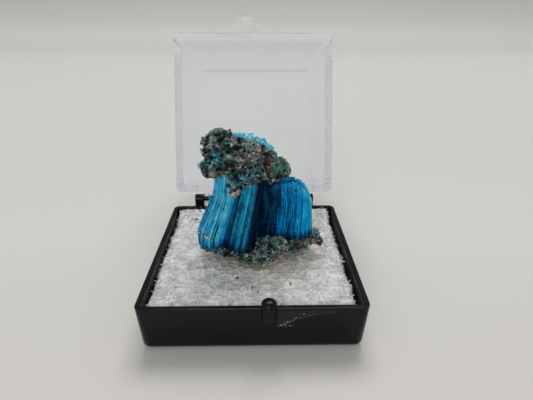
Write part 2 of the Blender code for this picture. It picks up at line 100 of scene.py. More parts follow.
def newPrimitive(name, operator, **settings):
    pickNothing()
    operator(**settings)
    made = bpy.context.object
    made.name = made.data.name = name
    bpy.ops.object.transform_apply(location=True, rotation=True, scale=True)
    return made


def applyModifier(piece, kind, **settings):
    pick(piece)
    modifier = piece.modifiers.new(kind.lower(), kind)
    for name, value in settings.items():
        setattr(modifier, name, value)
    bpy.ops.object.modifier_apply(modifier=modifier.name)


def formOf(operator, **settings):
    # points and faces of a primitive, which is then removed
    pickNothing()
    operator(**settings)
    made = bpy.context.object
    verts = np.array([v.co for v in made.data.vertices])
    faces = [list(p.vertices) for p in made.data.polygons]
    bpy.data.objects.remove(made, do_unlink=True)
    return verts, faces


def blockBetween(name, low, high):
    # a block between two opposite corners
    middle = [(a + b) / 2 * mm for a, b in zip(low, high)]
    extent = [(b - a) * mm for a, b in zip(low, high)]
    return newPrimitive(name, bpy.ops.mesh.primitive_cube_add, size=1.0, location=middle, scale=extent)


def joinOn(piece, helper, operation="UNION"):
    applyModifier(piece, "BOOLEAN", operation=operation, object=helper, solver="EXACT")
    bpy.data.objects.remove(helper, do_unlink=True)


def levelOf(edge, height):
    return all(abs(v.co.z - height) < 0.01 * mm for v in edge.verts)


def softenEdges(test, softness, segments):
    pickWhere("EDGE", test)
    bpy.ops.mesh.bevel(offset=softness * mm, segments=segments, profile=0.5, affect="EDGES")


def shadeByAngle(piece, degrees):
    pick(piece)
    bpy.ops.object.shade_smooth_by_angle(angle=math.radians(degrees))


def taperedBlock(name, low, high, outlineLow, outlineHigh, corner, softLevel, softness):
    # outlines are half width, front and back; the edges at one level are softened
    block = blockBetween(name, (-0.5, -0.5, low), (0.5, 0.5, high))
    startEditing(block)
    for level, (side, front, back) in ((low, outlineLow), (high, outlineHigh)):
        pickWhere("FACE", lambda f: levelOf(f, level * mm))
        middle = (0.0, 0.0, level * mm)
        bpy.ops.transform.resize(value=(2 * side, back - front, 1.0), center_override=middle)
        bpy.ops.transform.translate(value=(0.0, (front + back) / 2 * mm, 0.0))
    softenEdges(lambda e: abs(e.verts[0].co.z - e.verts[1].co.z) > mm, corner, 7)
    softenEdges(lambda e: levelOf(e, softLevel * mm), softness, 6)
    stopEditing()
    return block


def roundRim(piece, level, softness):
    # softens the sharp edges left at a level where a room was cut
    startEditing(piece)
    softenEdges(lambda e: levelOf(e, level * mm) and e.calc_face_angle(0.0) > 1.0, softness, 3)
    stopEditing()


def keepFlat(piece, area):
    # faces larger than an area in square millimetres stay flat; with an area of 0, all of them do
    for face in piece.data.polygons:
        if face.area > area * mm * mm:
            face.use_smooth = False


def meshPiece(name, verts, faces):
    # verts in millimetres
    mesh = bpy.data.meshes.new(name)
    mesh.from_pydata((np.asarray(verts) * mm).tolist(), [], faces)
    mesh.update()
    made = bpy.data.objects.new(name, mesh)
    bpy.context.scene.collection.objects.link(made)
    return made


def joinedForms(name, forms, faces):
    # copies of one form, each with points of its own, joined into one piece
    step = len(forms[0])
    every = [[int(v) + index * step for v in face] for index in range(len(forms)) for face in faces]
    return meshPiece(name, np.concatenate(forms), every)


def gridParts(across, along):
    # faces of a grid of points, and its rim in order
    grid = np.arange(across * along).reshape(along, across)
    faces = np.stack([grid[:-1, :-1], grid[:-1, 1:], grid[1:, 1:], grid[1:, :-1]], -1).reshape(-1, 4)
    rim = np.concatenate([grid[0, :-1], grid[:-1, -1], grid[-1, :0:-1], grid[:0:-1, 0]])
    return faces, rim


def tubesPiece(name, tubes):
    # closed strands, each an array of rings of points
    faces, base = [], 0
    for tube in tubes:
        rings, sides = tube.shape[:2]
        grid = base + np.arange(rings * sides).reshape(rings, sides)
        after = np.roll(grid, -1, 1)
        faces.extend(np.stack([grid[:-1], after[:-1], after[1:], grid[1:]], -1).reshape(-1, 4).tolist())
        faces.append(grid[0][::-1].tolist())
        faces.append(grid[-1].tolist())
        base += rings * sides
    return meshPiece(name, np.concatenate([tube.reshape(-1, 3) for tube in tubes]), faces)


def noiseAt(points, scale, seed=0.0):
    # one signed noise value a point, points in millimetres
    shift = Vector((seed, seed * 0.7, -seed))
    return np.array([noise.noise(Vector(p) / scale + shift) for p in points])


def driftAt(place):
    # a signed vector that is the same in every run, which the built-in noise vector isn't
    shifts = ((9.3, -1.5, -8.0), (-7.2, 3.1, 5.6), (2.7, 6.4, -4.9))
    return Vector([noise.noise(place + Vector(shift)) for shift in shifts])


def turnOf(*turns):
    # one turn after another about the named axes
    turn = Matrix.Identity(3)
    for axis, angle in turns:
        turn = turn @ Matrix.Rotation(angle, 3, axis)
    return np.array(turn)


def mergedCopy(node, name):
    # a loose-triangle frame node, copied and welded
    made = bpy.data.objects.new(name, frame["nodes"][node].data.copy())
    bpy.context.scene.collection.objects.link(made)
    made.data.materials.clear()
    startEditing(made)
    bpy.ops.mesh.select_all(action="SELECT")
    bpy.ops.mesh.remove_doubles(threshold=0.002 * mm)
    stopEditing()
    return made


def treeOf(*pieces):
    form = bmesh.new()
    for piece in pieces:
        form.from_mesh(piece.data)
    tree = BVHTree.FromBMesh(form)
    form.free()
    return tree


def pointsOf(piece):
    flat = np.empty(len(piece.data.vertices) * 3, np.float32)
    piece.data.vertices.foreach_get("co", flat)
    return flat.reshape(-1, 3).astype(float) / mm


def paintPoints(piece, name, colours):
    layer = piece.data.color_attributes.new(name, "FLOAT_COLOR", "POINT")
    full = np.ones((len(colours), 4), np.float32)
    full[:, :3] = colours
    layer.data.foreach_set("color", full.ravel())


def numberPoints(piece, name, values):
    layer = piece.data.attributes.new(name, "FLOAT", "POINT")
    layer.data.foreach_set("value", np.asarray(values, np.float32))


def finishPiece(piece, finish, body, slot, *nodes):
    piece.data.materials.clear()
    piece.data.materials.append(finish)
    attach(piece, body)
    if nodes:
        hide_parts(*nodes)


# Node helpers

def newFinish(name, **sockets):
    finish = bpy.data.materials.new(name)
    finish.use_nodes = True
    shader = finish.node_tree.nodes["Principled BSDF"]
    for socket, value in sockets.items():
        shader.inputs[socket.replace("_", " ")].default_value = value
    return finish, finish.node_tree, shader


def addNode(tree, kind, sockets=None, **settings):
    made = tree.nodes.new("ShaderNode" + kind)
    for name, value in settings.items():
        setattr(made, name, value)
    for socket, value in (sockets or {}).items():
        if isinstance(value, bpy.types.NodeSocket):
            tree.links.new(value, made.inputs[socket])
        else:
            made.inputs[socket].default_value = value
    return made


def objectPlace(tree):
    return addNode(tree, "TexCoord").outputs["Object"]


def maths(tree, operation, first, second=0.0, clamp=False):
    return addNode(tree, "Math", {0: first, 1: second}, operation=operation, use_clamp=clamp).outputs[0]


def mixColours(tree, share, first, second, blend="MIX"):
    def asColour(value):
        return value if isinstance(value, bpy.types.NodeSocket) else (*value, 1.0)
    sockets = {0: share, 6: asColour(first), 7: asColour(second)}
    return addNode(tree, "Mix", sockets, data_type="RGBA", blend_type=blend).outputs[2]


def ramp(tree, factor, stops):
    made = addNode(tree, "ValToRGB", {"Fac": factor})
    points = made.color_ramp.elements
    while len(points) < len(stops):
        points.new(1.0)
    for point, (place, colour) in zip(points, stops):
        point.position = place
        point.color = (*colour, 1.0)
    return made.outputs["Color"]


def grey(value):
    return (value, value, value)


def swing(tree, value, reach):
    # a noise value turned into one that swings about zero
    return maths(tree, "MULTIPLY", maths(tree, "SUBTRACT", value, 0.5), reach)


def toneOf(tree):
    return addNode(tree, "Attribute", attribute_name="tone").outputs["Fac"]


def noiseOf(tree, place, scale, detail=3.0, roughness=0.5, distortion=0.0):
    sockets = {
        "Vector": place, "Scale": scale, "Detail": detail, "Roughness": roughness,
        "Distortion": distortion,
    }
    return addNode(tree, "TexNoise", sockets).outputs["Fac"]


def bumpOf(tree, height, strength, distance):
    sockets = {"Height": height, "Strength": strength, "Distance": distance * mm}
    return addNode(tree, "Bump", sockets).outputs["Normal"]


# Camera at the photograph's place

cameraSet = {
    "place": (0.838, -62.128, 44.700),
    "turn": (65.4166, -0.2136, -1.1102),  # degrees
    "lens": 28.59,
    "sensor": 36.0,
}
photoSize = {"wide": 533, "high": 400}


def makeCamera():
    eye = bpy.data.cameras.new("camera")
    eye.lens = cameraSet["lens"]
    eye.sensor_width = cameraSet["sensor"]
    eye.clip_start = 0.001
    camera = bpy.data.objects.new("camera", eye)
    bpy.context.scene.collection.objects.link(camera)
    camera.location = Vector(cameraSet["place"]) * mm
    camera.rotation_euler = [math.radians(a) for a in cameraSet["turn"]]
    bpy.context.scene.camera = camera
    bpy.context.view_layer.update()
    return camera


camera = makeCamera()


def sightLine(across, down):
    # start and direction of the line of sight through a pixel of the photograph
    reach = cameraSet["lens"] / cameraSet["sensor"] * photoSize["wide"]
    towards = Vector((across - photoSize["wide"] / 2, photoSize["high"] / 2 - down, -reach))
    return camera.location, (camera.matrix_world.to_3x3() @ towards).normalized()


# Floor, backdrop and light

stageSet = {
    "half": 1500.0, "front": -700.0, "bendAt": 440.0, "bendRadius": 160.0, "top": 700.0,
    "tone": (0.98, 0.967, 0.93), "nearAt": -30.0, "farAt": 360.0, "highAt": 110.0,
    # the two ramps below are painted shade: the floor darker towards the front, the backdrop darker towards
    # its top
    "paintedShadeByDepth": [(0.0, (0.745, 0.728, 0.708)), (0.08, (0.78, 0.772, 0.76)), (0.115, grey(0.81)),
                (0.26, grey(0.815)), (0.44, grey(0.86)), (0.62, grey(0.905)), (1.0, grey(1.0))],
    "paintedShadeByHeight": [(0.0, grey(1.0)), (0.13, grey(1.0)), (0.2, grey(0.93)), (0.28, grey(0.872)),
                 (0.455, grey(0.79)), (1.0, grey(0.45))],
}
lightSet = {
    "overhead": {"place": (110, 780, 1400), "size": 1000, "power": 12.1},
    "fill": {"place": (-150, -700, 330), "size": 450, "power": 2.0},
    "sky": 0.38,
}


def makeStage():
    pickNothing()
    bpy.ops.mesh.primitive_plane_add(size=1.0)
    sweep = bpy.context.object
    sweep.name = "sweep"
    deep = stageSet["bendAt"] - stageSet["front"]
    sweep.scale = (2 * stageSet["half"] * mm, deep * mm, 1.0)
    sweep.location = (0.0, (stageSet["front"] + deep / 2) * mm, 0.0)
    bpy.ops.object.transform_apply(location=True, rotation=True, scale=True)
    startEditing(sweep)
    back = stageSet["bendAt"] * mm
    pickWhere("EDGE", lambda e: all(abs(v.co.y - back) < mm for v in e.verts))
    steps, radius = 16, stageSet["bendRadius"] * mm
    for step in range(steps):
        turn, after = (math.radians(90) * (step + i) / steps for i in (0, 1))
        move = (math.sin(after) - math.sin(turn), math.cos(turn) - math.cos(after))
        bpy.ops.mesh.extrude_region_move(
            TRANSFORM_OT_translate={"value": (0.0, radius * move[0], radius * move[1])}
        )
    rise = (stageSet["top"] - stageSet["bendRadius"]) * mm
    bpy.ops.mesh.extrude_region_move(TRANSFORM_OT_translate={"value": (0.0, 0.0, rise)})
    stopEditing()
    bpy.ops.object.shade_smooth()
    finish, tree, shader = newFinish("paleTable", Roughness=0.55, Specular_IOR_Level=0.3)
    grain = noiseOf(tree, objectPlace(tree), 9.0, 2.0)
    tone = stageSet["tone"]
    duller = tuple(0.97 * c for c in tone)
    split = addNode(tree, "SeparateXYZ", {"Vector": objectPlace(tree)}).outputs
    floorToneAndShade = mixColours(tree, grain, tone, duller)
    # the plain tone is multiplied by the two ramps of painted shade, by depth and by height
    for axis, low, top, stops in (
        ("Y", stageSet["nearAt"], stageSet["farAt"], stageSet["paintedShadeByDepth"]),
        ("Z", 0.0, stageSet["highAt"], stageSet["paintedShadeByHeight"]),
    ):
        share = addNode(tree, "MapRange", {"Value": split[axis], 1: low * mm, 2: top * mm}).outputs[0]
        floorToneAndShade = mixColours(tree, 1.0, floorToneAndShade, ramp(tree, share, stops), "MULTIPLY")
    tree.links.new(floorToneAndShade, shader.inputs["Base Color"])
    sweep.data.materials.append(finish)


def makeLights():
    world = bpy.data.worlds.new("softRoom")
    bpy.context.scene.world = world
    world.use_nodes = True
    sky = world.node_tree.nodes["Background"]
    sky.inputs["Color"].default_value = (1.0, 1.0, 1.0, 1.0)
    sky.inputs["Strength"].default_value = lightSet["sky"]
    for name in ("overhead", "fill"):
        size = lightSet[name]
        lamp = bpy.data.lights.new(name, "AREA")
        lamp.shape = "DISK"
        lamp.size = size["size"] * mm
        lamp.energy = size["power"]
        lampObject = bpy.data.objects.new(name, lamp)
        bpy.context.scene.collection.objects.link(lampObject)
        lampObject.location = Vector(size["place"]) * mm
        lampObject.rotation_euler = (-lampObject.location).to_track_quat("-Z", "Y").to_euler()
    bpy.context.scene.view_settings.view_transform = "Standard"


makeStage()
makeLights()
print("stage, light and camera are in place")


# Tray of the box, with hinge posts and latch stud

traySet = {
    "footHalf": 15.75, "rimHalf": 16.1, "rimFront": 16.55, "rimBack": 16.0, "high": 7.75,
    "wall": 0.8, "floor": 1.2, "corner": 1.1, "footRound": 1.1, "rimRound": 0.14,
    "hingeY": 17.15, "hingeZ": 8.83,
    "postX": 11.1, "postWide": 1.84, "postRadius": 0.92, "postFoot": 5.6, "shoulder": 7.5,
    "pinRadius": 0.5, "pinReach": 1.7,
    "studX": 2.2, "studY": -16.84,
    "stud": [(0.0, 9.4), (0.34, 9.38), (0.62, 9.32), (0.84, 9.2), (0.98, 9.05), (1.06, 8.9),
             (1.06, 8.8), (1.03, 8.75), (0.94, 8.7), (0.94, 8.6), (1.02, 8.54), (1.05, 8.48),
             (1.05, 6.55), (0.97, 6.38), (0.8, 6.3), (0.0, 6.3)],  # radius and height
}


def hingeRod(name, x, deep, radius, sides):
    # a rod in line with the hinge
    return newPrimitive(
        name, bpy.ops.mesh.primitive_cylinder_add, vertices=sides, radius=radius * mm, depth=deep * mm,
        location=(x * mm, traySet["hingeY"] * mm, traySet["hingeZ"] * mm),
        rotation=(0.0, math.radians(90), 0.0),
    )


def turnedPiece(name, place, profile, steps):
    # a profile of radius and height, spun round a vertical axis
    made = meshPiece(name, [(place[0] + r, place[1], z) for r, z in profile], [])
    made.data.edges.add(len(profile) - 1)
    for index, edge in enumerate(made.data.edges):
        edge.vertices = (index, index + 1)
    startEditing(made)
    bpy.ops.mesh.select_all(action="SELECT")
    centre = (place[0] * mm, place[1] * mm, 0.0)
    bpy.ops.mesh.spin(steps=steps, angle=2 * math.pi, center=centre, axis=(0.0, 0.0, 1.0))
    bpy.ops.mesh.select_all(action="SELECT")
    bpy.ops.mesh.remove_doubles(threshold=0.002 * mm)
    bpy.ops.mesh.normals_make_consistent(inside=False)
    stopEditing()
    return made


def makeTray():
    size = traySet
    foot, wall, high = size["footHalf"], size["wall"], size["high"]
    rim = (size["rimHalf"], -size["rimFront"], size["rimBack"])
    tray = taperedBlock(
        "tray", 0.0, high, (foot, -foot, foot), rim, size["corner"], 0.0, size["footRound"]
    )
    inner = (foot - wall, wall - foot, foot - wall)
    mouth = (rim[0] - wall, rim[1] + wall, rim[2] - wall)
    room = taperedBlock("room", size["floor"], high + 0.5, inner, mouth, 0.6, size["floor"], 0.4)
    joinOn(tray, room, "DIFFERENCE")
    roundRim(tray, high, size["rimRound"])
    for side in (-1, 1):
        addPost(tray, side)
    stud = turnedPiece("stud", (size["studX"], size["studY"]), size["stud"], 48)
    joinOn(tray, stud)
    shadeByAngle(tray, 28)
    keepFlat(tray, 12)
    finishPiece(tray, makeBlackPlastic(), "base", "black_styrene", "box_base")


def addPost(tray, side):
    size = traySet
    x, half = side * size["postX"], size["postWide"] / 2
    foot, head = size["postFoot"], size["hingeZ"]
    top = size["hingeY"] + size["postRadius"] * 0.98
    inner = size["rimBack"] - size["wall"] / 2
    body = blockBetween("postBody", (x - half, inner, foot), (x + half, top, head))
    startEditing(body)
    middle = (top + inner) / 2 * mm
    pickWhere("VERT", lambda v: v.co.y < middle and v.co.z > (foot + 1.0) * mm)
    bpy.ops.transform.translate(value=(0.0, 0.0, (size["shoulder"] - head) * mm))
    pickWhere("VERT", lambda v: v.co.y > middle and v.co.z < (foot + 0.1) * mm)
    bpy.ops.transform.translate(value=(0.0, 0.0, (top - size["rimBack"]) * mm))
    softenEdges(lambda e: True, 0.1, 2)
    stopEditing()
    joinOn(tray, body)
    rod = hingeRod("postHead", x, size["postWide"], size["postRadius"], 48)
    startEditing(rod)
    softenEdges(lambda e: abs(e.verts[0].co.x - e.verts[1].co.x) < 0.01 * mm, 0.12, 3)
    stopEditing()
    joinOn(tray, rod)
    start = size["postX"] - half - size["pinReach"]
    middleX = side * (size["postX"] + start) / 2
    joinOn(tray, hingeRod("pin", middleX, size["postX"] - start, size["pinRadius"], 32))


def makeBlackPlastic():
    finish, tree, shader = newFinish("blackStyrene", IOR=1.5, Specular_IOR_Level=0.18)
    place = objectPlace(tree)
    haze = noiseOf(tree, place, 160.0, 4.0, 0.6)
    dust = noiseOf(tree, place, 5200.0, 2.0, 0.6)
    rubbed = ramp(tree, haze, [(0.35, grey(0.16)), (0.7, grey(0.34))])
    tree.links.new(rubbed, shader.inputs["Roughness"])
    specks = ramp(tree, dust, [(0.70, grey(0.0)), (0.78, grey(1.0))])
    body = mixColours(tree, haze, (0.0028, 0.0033, 0.0042), (0.0056, 0.0063, 0.0082))
    dusted = mixColours(tree, maths(tree, "MULTIPLY", specks, 0.25), body, (0.09, 0.09, 0.09))
    tree.links.new(dusted, shader.inputs["Base Color"])
    ripple = noiseOf(tree, place, 420.0, 3.0, 0.5)
    tree.links.new(bumpOf(tree, ripple, 0.25, 0.03), shader.inputs["Normal"])
    return finish


makeTray()
print("tray is made")


# Clear lid, modelled shut and then swung open about the hinge

lidSet = {
    "rim": 7.95, "top": 33.05, "rimHalf": 15.8, "topHalf": 14.9, "wall": 1.45,
    "corner": 1.0, "topRound": 0.8, "innerRound": 0.6, "rimRound": 0.3, "open": 110.67,
    "earX": 9.4, "earWide": 1.4, "earRadius": 1.0, "earHole": 0.6, "heel": 1.9, "earFoot": 8.25,
    "stopGap": 0.1,
    "forkGap": 1.2, "prong": 0.8, "forkReach": 1.4, "forkFoot": 8.05, "forkTop": 9.55,
}
hinge = Vector((0.0, traySet["hingeY"], traySet["hingeZ"])) * mm
lidSwing = (
    Matrix.Translation(hinge)
    @ Matrix.Rotation(-math.radians(lidSet["open"]), 4, "X")
    @ Matrix.Translation(-hinge)
)


def makeLid():
    size = lidSet
    rim, top, wall = size["rim"], size["top"], size["wall"]
    mouth, roof = size["rimHalf"], size["topHalf"]
    lid = taperedBlock(
        "lid", rim, top, (mouth, -mouth, mouth), (roof, -roof, roof), size["corner"], top,
        size["topRound"],
    )
    room = taperedBlock(
        "room", rim - 1, top - wall, (mouth - wall, wall - mouth, mouth - wall),
        (roof - wall, wall - roof, roof - wall), size["innerRound"], top - wall,
        0.9 * size["innerRound"],
    )
    joinOn(lid, room, "DIFFERENCE")
    roundRim(lid, rim, size["rimRound"])
    for side in (-1, 1):
        addEar(lid, side)
        addProng(lid, side)
    lid.data.transform(lidSwing)
    shadeByAngle(lid, 28)
    keepFlat(lid, 0)
    finishPiece(lid, makeClearPlastic(), "lid", "clear_styrene", "box_lid")


def addEar(lid, side):
    size = lidSet
    x, half = side * size["earX"], size["earWide"] / 2
    y, z = traySet["hingeY"], traySet["hingeZ"]
    joinOn(lid, hingeRod("ear", x, size["earWide"], size["earRadius"], 40))
    armStart = (x - half, size["rimHalf"] - size["wall"] / 2, size["earFoot"])
    joinOn(lid, blockBetween("arm", armStart, (x + half, y, z + size["earRadius"] * 0.98)))
    heelStart = (x - half, traySet["rimBack"] + size["stopGap"], z - size["heel"])
    heel = blockBetween("heel", heelStart, (x + half, y, z))
    heel.data.transform(lidSwing.inverted())
    joinOn(lid, heel)
    hole = hingeRod("hole", x, size["earWide"] * 1.5, size["earHole"], 32)
    joinOn(lid, hole, "DIFFERENCE")


def addProng(lid, side):
    size = lidSet
    inner = traySet["studX"] + side * size["forkGap"]
    left, right = sorted((inner, inner + side * size["prong"]))
    front, back = -size["rimHalf"] - size["forkReach"], -size["rimHalf"] + size["wall"] / 2
    prong = blockBetween("prong", (left, front, size["forkFoot"]), (right, back, size["forkTop"]))
    startEditing(prong)
    softenEdges(lambda e: all(v.co.y < (front + 0.1) * mm for v in e.verts), 0.25, 4)
    stopEditing()
    joinOn(lid, prong)


def makeClearPlastic():
    finish, tree, shader = newFinish(
        "clearStyrene", Base_Color=(0.935, 0.965, 0.985, 1.0), Transmission_Weight=1.0, IOR=1.04,
    )
    depth = addNode(tree, "VolumeAbsorption", {"Color": (0.82, 0.81, 0.92, 1.0), "Density": 26.0})
    tree.links.new(depth.outputs[0], tree.nodes["Material Output"].inputs["Volume"])
    place = objectPlace(tree)
    haze = noiseOf(tree, place, 130.0, 4.0, 0.6)
    tree.links.new(ramp(tree, haze, [(0.3, grey(0.03)), (0.75, grey(0.16))]), shader.inputs["Roughness"])
    ripple = noiseOf(tree, place, 90.0, 2.0, 0.5)
    tree.links.new(bumpOf(tree, ripple, 0.15, 0.05), shader.inputs["Normal"])
    return finish


makeLid()
print("lid is made")


# Torn clear tape: the flap that curls off the lid, and the scrap left on the tray's front wall

tapeSet = {
    "left": -7.5, "right": -0.3, "top": 11.8, "bend": 9.2, "stuck": 0.4, "radius": 1.5,
    "least": 0.12, "fullAt": 0.7, "turn": 155.0, "thick": 0.12, "gap": 0.12, "cells": (44, 60),
    "crinkle": 0.10,
    "rolls": {  # rolled edges: from, to, thickness, cover, and the order of the ring's axes
        "rolledEdge": ((0.6, 1.0), (0.97, 1.0), 0.15, 0.5, [0, 1, 2]),
        "sideEdge": ((0.97, 0.45), (0.97, 1.0), 0.08, 0.16, [1, 0, 2]),
    },
}
scrapSet = {
    "line": [(3.35, 7.35), (11.6, 7.35), (9.2, 6.9), (6.6, 6.35), (5.6, 6.0), (4.75, 5.15), (4.2, 4.55),
             (3.2, 4.3)],  # x and height
    "torn": [(11.4, 7.2), (9.2, 6.75), (7.6, 6.5), (6.7, 6.0), (6.0, 6.1), (5.5, 5.5), (4.9, 5.35),
             (4.4, 4.7), (3.6, 4.5)],
    "thick": 0.05,
}


def flapPoint(across, along):
    # along runs from the stuck end to the free end of the curl
    size = tapeSet
    lean = (lidSet["rimHalf"] - lidSet["topHalf"]) / (lidSet["top"] - lidSet["rim"])
    fray = noise.noise(Vector((across * 6.0, along * 9.0, 3.0)))
    x = size["left"] + across * (size["right"] - size["left"]) + 0.12 * fray
    widening = min(1.0, across / size["fullAt"])
    curl = size["radius"] * (size["least"] + (1 - size["least"]) * widening)
    loose = max(0.0, (along - size["stuck"]) / (1 - size["stuck"]))
    if loose:
        turn = math.radians(size["turn"]) * loose
        y = -lidSet["rimHalf"] - size["gap"] - curl * (1 - math.cos(turn))
        z = size["bend"] - curl * math.sin(turn)
    else:
        z = size["top"] + (size["bend"] - size["top"]) * along / size["stuck"]
        y = -lidSet["rimHalf"] + lean * (z - lidSet["rim"]) - size["gap"]
    wave = driftAt(Vector((across * 9.0, along * 14.0, 7.0))) * size["crinkle"] * loose
    return Vector((x + wave.x, y - size["thick"] / 2 - abs(wave.y), z + wave.z))


def makeTapeFlap():
    size = tapeSet
    acrossCells, alongCells = size["cells"]
    flap = newPrimitive(
        "tapeFlap", bpy.ops.mesh.primitive_grid_add, x_subdivisions=acrossCells,
        y_subdivisions=alongCells, size=1.0,
    )
    for vert in flap.data.vertices:
        vert.co = flapPoint(vert.co.x + 0.5, vert.co.y + 0.5) * mm
    applyModifier(flap, "SOLIDIFY", thickness=size["thick"] * mm, offset=0.0)
    flap.data.transform(lidSwing)
    shadeByAngle(flap, 60)
    finishPiece(flap, makeFilm("tapeFilm", 0.10), "lid", "clear_film", "torn_tape")
    section = np.arange(5) * 2 * math.pi / 5
    ring = np.stack([0 * section, np.cos(section), np.sin(section)], 1)
    for name, (start, end, thick, cover, axes) in size["rolls"].items():
        shares = np.linspace(0, 1, 40)
        path = np.array([flapPoint(*(a + (b - a) * share for a, b in zip(start, end))) for share in shares])
        roll = tubesPiece(name, [path[:, None] + ring[None, :, axes] * thick])
        roll.data.transform(lidSwing)
        finishPiece(roll, makeFilm(name + "Film", cover), "lid", "clear_film")


def makeFilm(name, cover):
    finish, tree, shader = newFinish(
        name, Base_Color=(0.9, 0.9, 0.93, 1.0), Alpha=cover, IOR=1.45, Roughness=0.15,
    )
    place = objectPlace(tree)
    creases = noiseOf(tree, place, 1500.0, 3.0, 0.6, 0.8)
    tree.links.new(bumpOf(tree, creases, 0.5, 0.05), shader.inputs["Normal"])
    return finish


def makeTapeScrap():
    # the torn scrap that still lies on the front wall of the tray
    size, tray = scrapSet, traySet
    lean = (tray["rimFront"] - tray["footHalf"]) / tray["high"]
    verts = [(x, -tray["footHalf"] - lean * z - size["thick"] / 2, z) for x, z in size["line"]]
    scrap = meshPiece("tapeScrap", verts, [list(range(len(verts)))])
    applyModifier(scrap, "SOLIDIFY", thickness=size["thick"] * mm, offset=0.0)
    finishPiece(scrap, makeFilm("scrapFilm", 0.012), "base", "clear_film")
    knots = np.array(size["torn"])
    share = np.linspace(0, len(knots) - 1, 60)
    x, z = (np.interp(share, range(len(knots)), knots[:, i]) for i in (0, 1))
    wander = noiseAt(np.stack([x, z, 0 * x], 1), 0.35, 2.0)
    thick = np.clip(0.10 - 0.012 * x + 0.09 * wander, 0.008, 0.09)
    around = np.arange(3) * 2.1
    rings = np.stack([
        x[:, None] + thick[:, None] * np.cos(around),
        (-tray["footHalf"] - lean * (z + 0.3 * wander) - 0.03)[:, None] + 0 * around,
        (z + 0.3 * wander)[:, None] + thick[:, None] * np.sin(around),
    ], -1)
    torn = tubesPiece("tapeTornEdge", [rings])
    finishPiece(torn, makeFilm("tornFilm", 0.12), "base", "clear_film")


makeTapeFlap()
makeTapeScrap()
print("tape is made")


# Foam pad: torn cells with thin film walls, and loose film curls on top

foamSet = {
    "cells": 300, "cellSize": 1.25, "fineCell": 0.6, "wall": 0.20, "pit": 0.12, "fine": 0.04,
    "flakes": 520, "bottom": 1.5, "seed": 11, "lidInside": 14.1, "underLid": 7.85,
}


def cellField(x, y, size, seed):
    # distance to the nearest cell centre, and how near the wall between two cells is
    draw = np.random.default_rng(seed)
    table = draw.random((64, 64, 2))
    col, row = np.floor(x / size).astype(int), np.floor(y / size).astype(int)
    found = []
    for i in (-1, 0, 1):
        for j in (-1, 0, 1):
            jitter = table[(col + i) % 64, (row + j) % 64]
            centreX, centreY = (col + i + jitter[..., 0]) * size, (row + j + jitter[..., 1]) * size
            found.append(np.hypot(centreX - x, centreY - y))
    found = np.sort(np.array(found), axis=0)
    return found[0] / size, (found[1] - found[0]) / size


def makeFoam():
    size = foamSet
    count = size["cells"]
    low, high = (np.array(corner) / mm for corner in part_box("foam_insert"))
    solid = mergedCopy("foam_insert", "foamGuide")
    tree = treeOf(solid)
    bpy.data.objects.remove(solid, do_unlink=True)
    edge = 0.12
    lines = (np.linspace(low[i] + edge, high[i] - edge, count) for i in (0, 1))
    x, y = (field.ravel() for field in np.meshgrid(*lines))
    start = high[2] + 5
    z = np.empty(len(x))
    for index in range(len(x)):
        hit = tree.ray_cast(Vector((x[index], y[index], start)) * mm, Vector((0, 0, -1)))[0]
        z[index] = hit.z / mm if hit else low[2] + 4.6
    flat = np.stack([x, y, np.zeros(len(x))], 1)
    bend = 0.35 * noiseAt(flat, 0.9, 4.0), 0.35 * noiseAt(flat, 0.9, 9.0)
    near, wall = cellField(x + bend[0], y + bend[1], size["cellSize"], size["seed"])
    wallFine = cellField(x + bend[1], y - bend[0], size["fineCell"], size["seed"] + 1)[1]
    torn = 0.55 + 0.6 * noiseAt(flat, 0.5, 2.0)
    crest = np.exp(-((wall / 0.12) ** 2)) * np.clip(torn, 0.0, 1.2)
    z += size["wall"] * crest + size["fine"] * np.exp(-((wallFine / 0.2) ** 2)) - 0.05
    z -= size["pit"] * np.clip(1 - near / 0.75, 0, 1)
    fromEdge = np.minimum.reduce([x - low[0], high[0] - x, y - low[1], high[1] - y])
    z -= 0.9 * np.clip(1 - fromEdge / 0.7, 0, 1) ** 2
    top = np.stack([x, y, z], 1)
    faces, rim = gridParts(count, count)
    skirt = top[rim] * [0.985, 0.985, 0.0] + [0.0, 0.0, size["bottom"] + 0.1]
    under = count * count + np.arange(len(rim))
    side = np.stack([np.roll(rim, -1), rim, under, np.roll(under, -1)], 1)
    every = [*faces.tolist(), *side.tolist(), under.tolist()]
    pad = meshPiece("foamPad", np.concatenate([top, skirt]), every)
    startEditing(pad)
    bpy.ops.mesh.select_all(action="SELECT")
    bpy.ops.mesh.normals_make_consistent(inside=False)
    stopEditing()
    shadeByAngle(pad, 70)
    # the tone is lighter on the cell-wall crests and darker in the pits, with some noise: painted highlight
    # on the walls and painted shade in the pits
    fineCrest = np.exp(-((wallFine / 0.16) ** 2)) * np.clip(0.3 + noiseAt(flat, 0.8, 6.0), 0, 1)
    shade = 0.36 + 0.5 * crest + 0.35 * fineCrest + 0.35 * noiseAt(flat, 2.2, 3.0)
    numberPoints(pad, "tone", np.concatenate([shade, np.full(len(rim), 0.4)]))
    finishPiece(pad, makeFoamFinish("foamSkin", 0.0), "base", "white_foam", "foam_insert")
    return top, wall


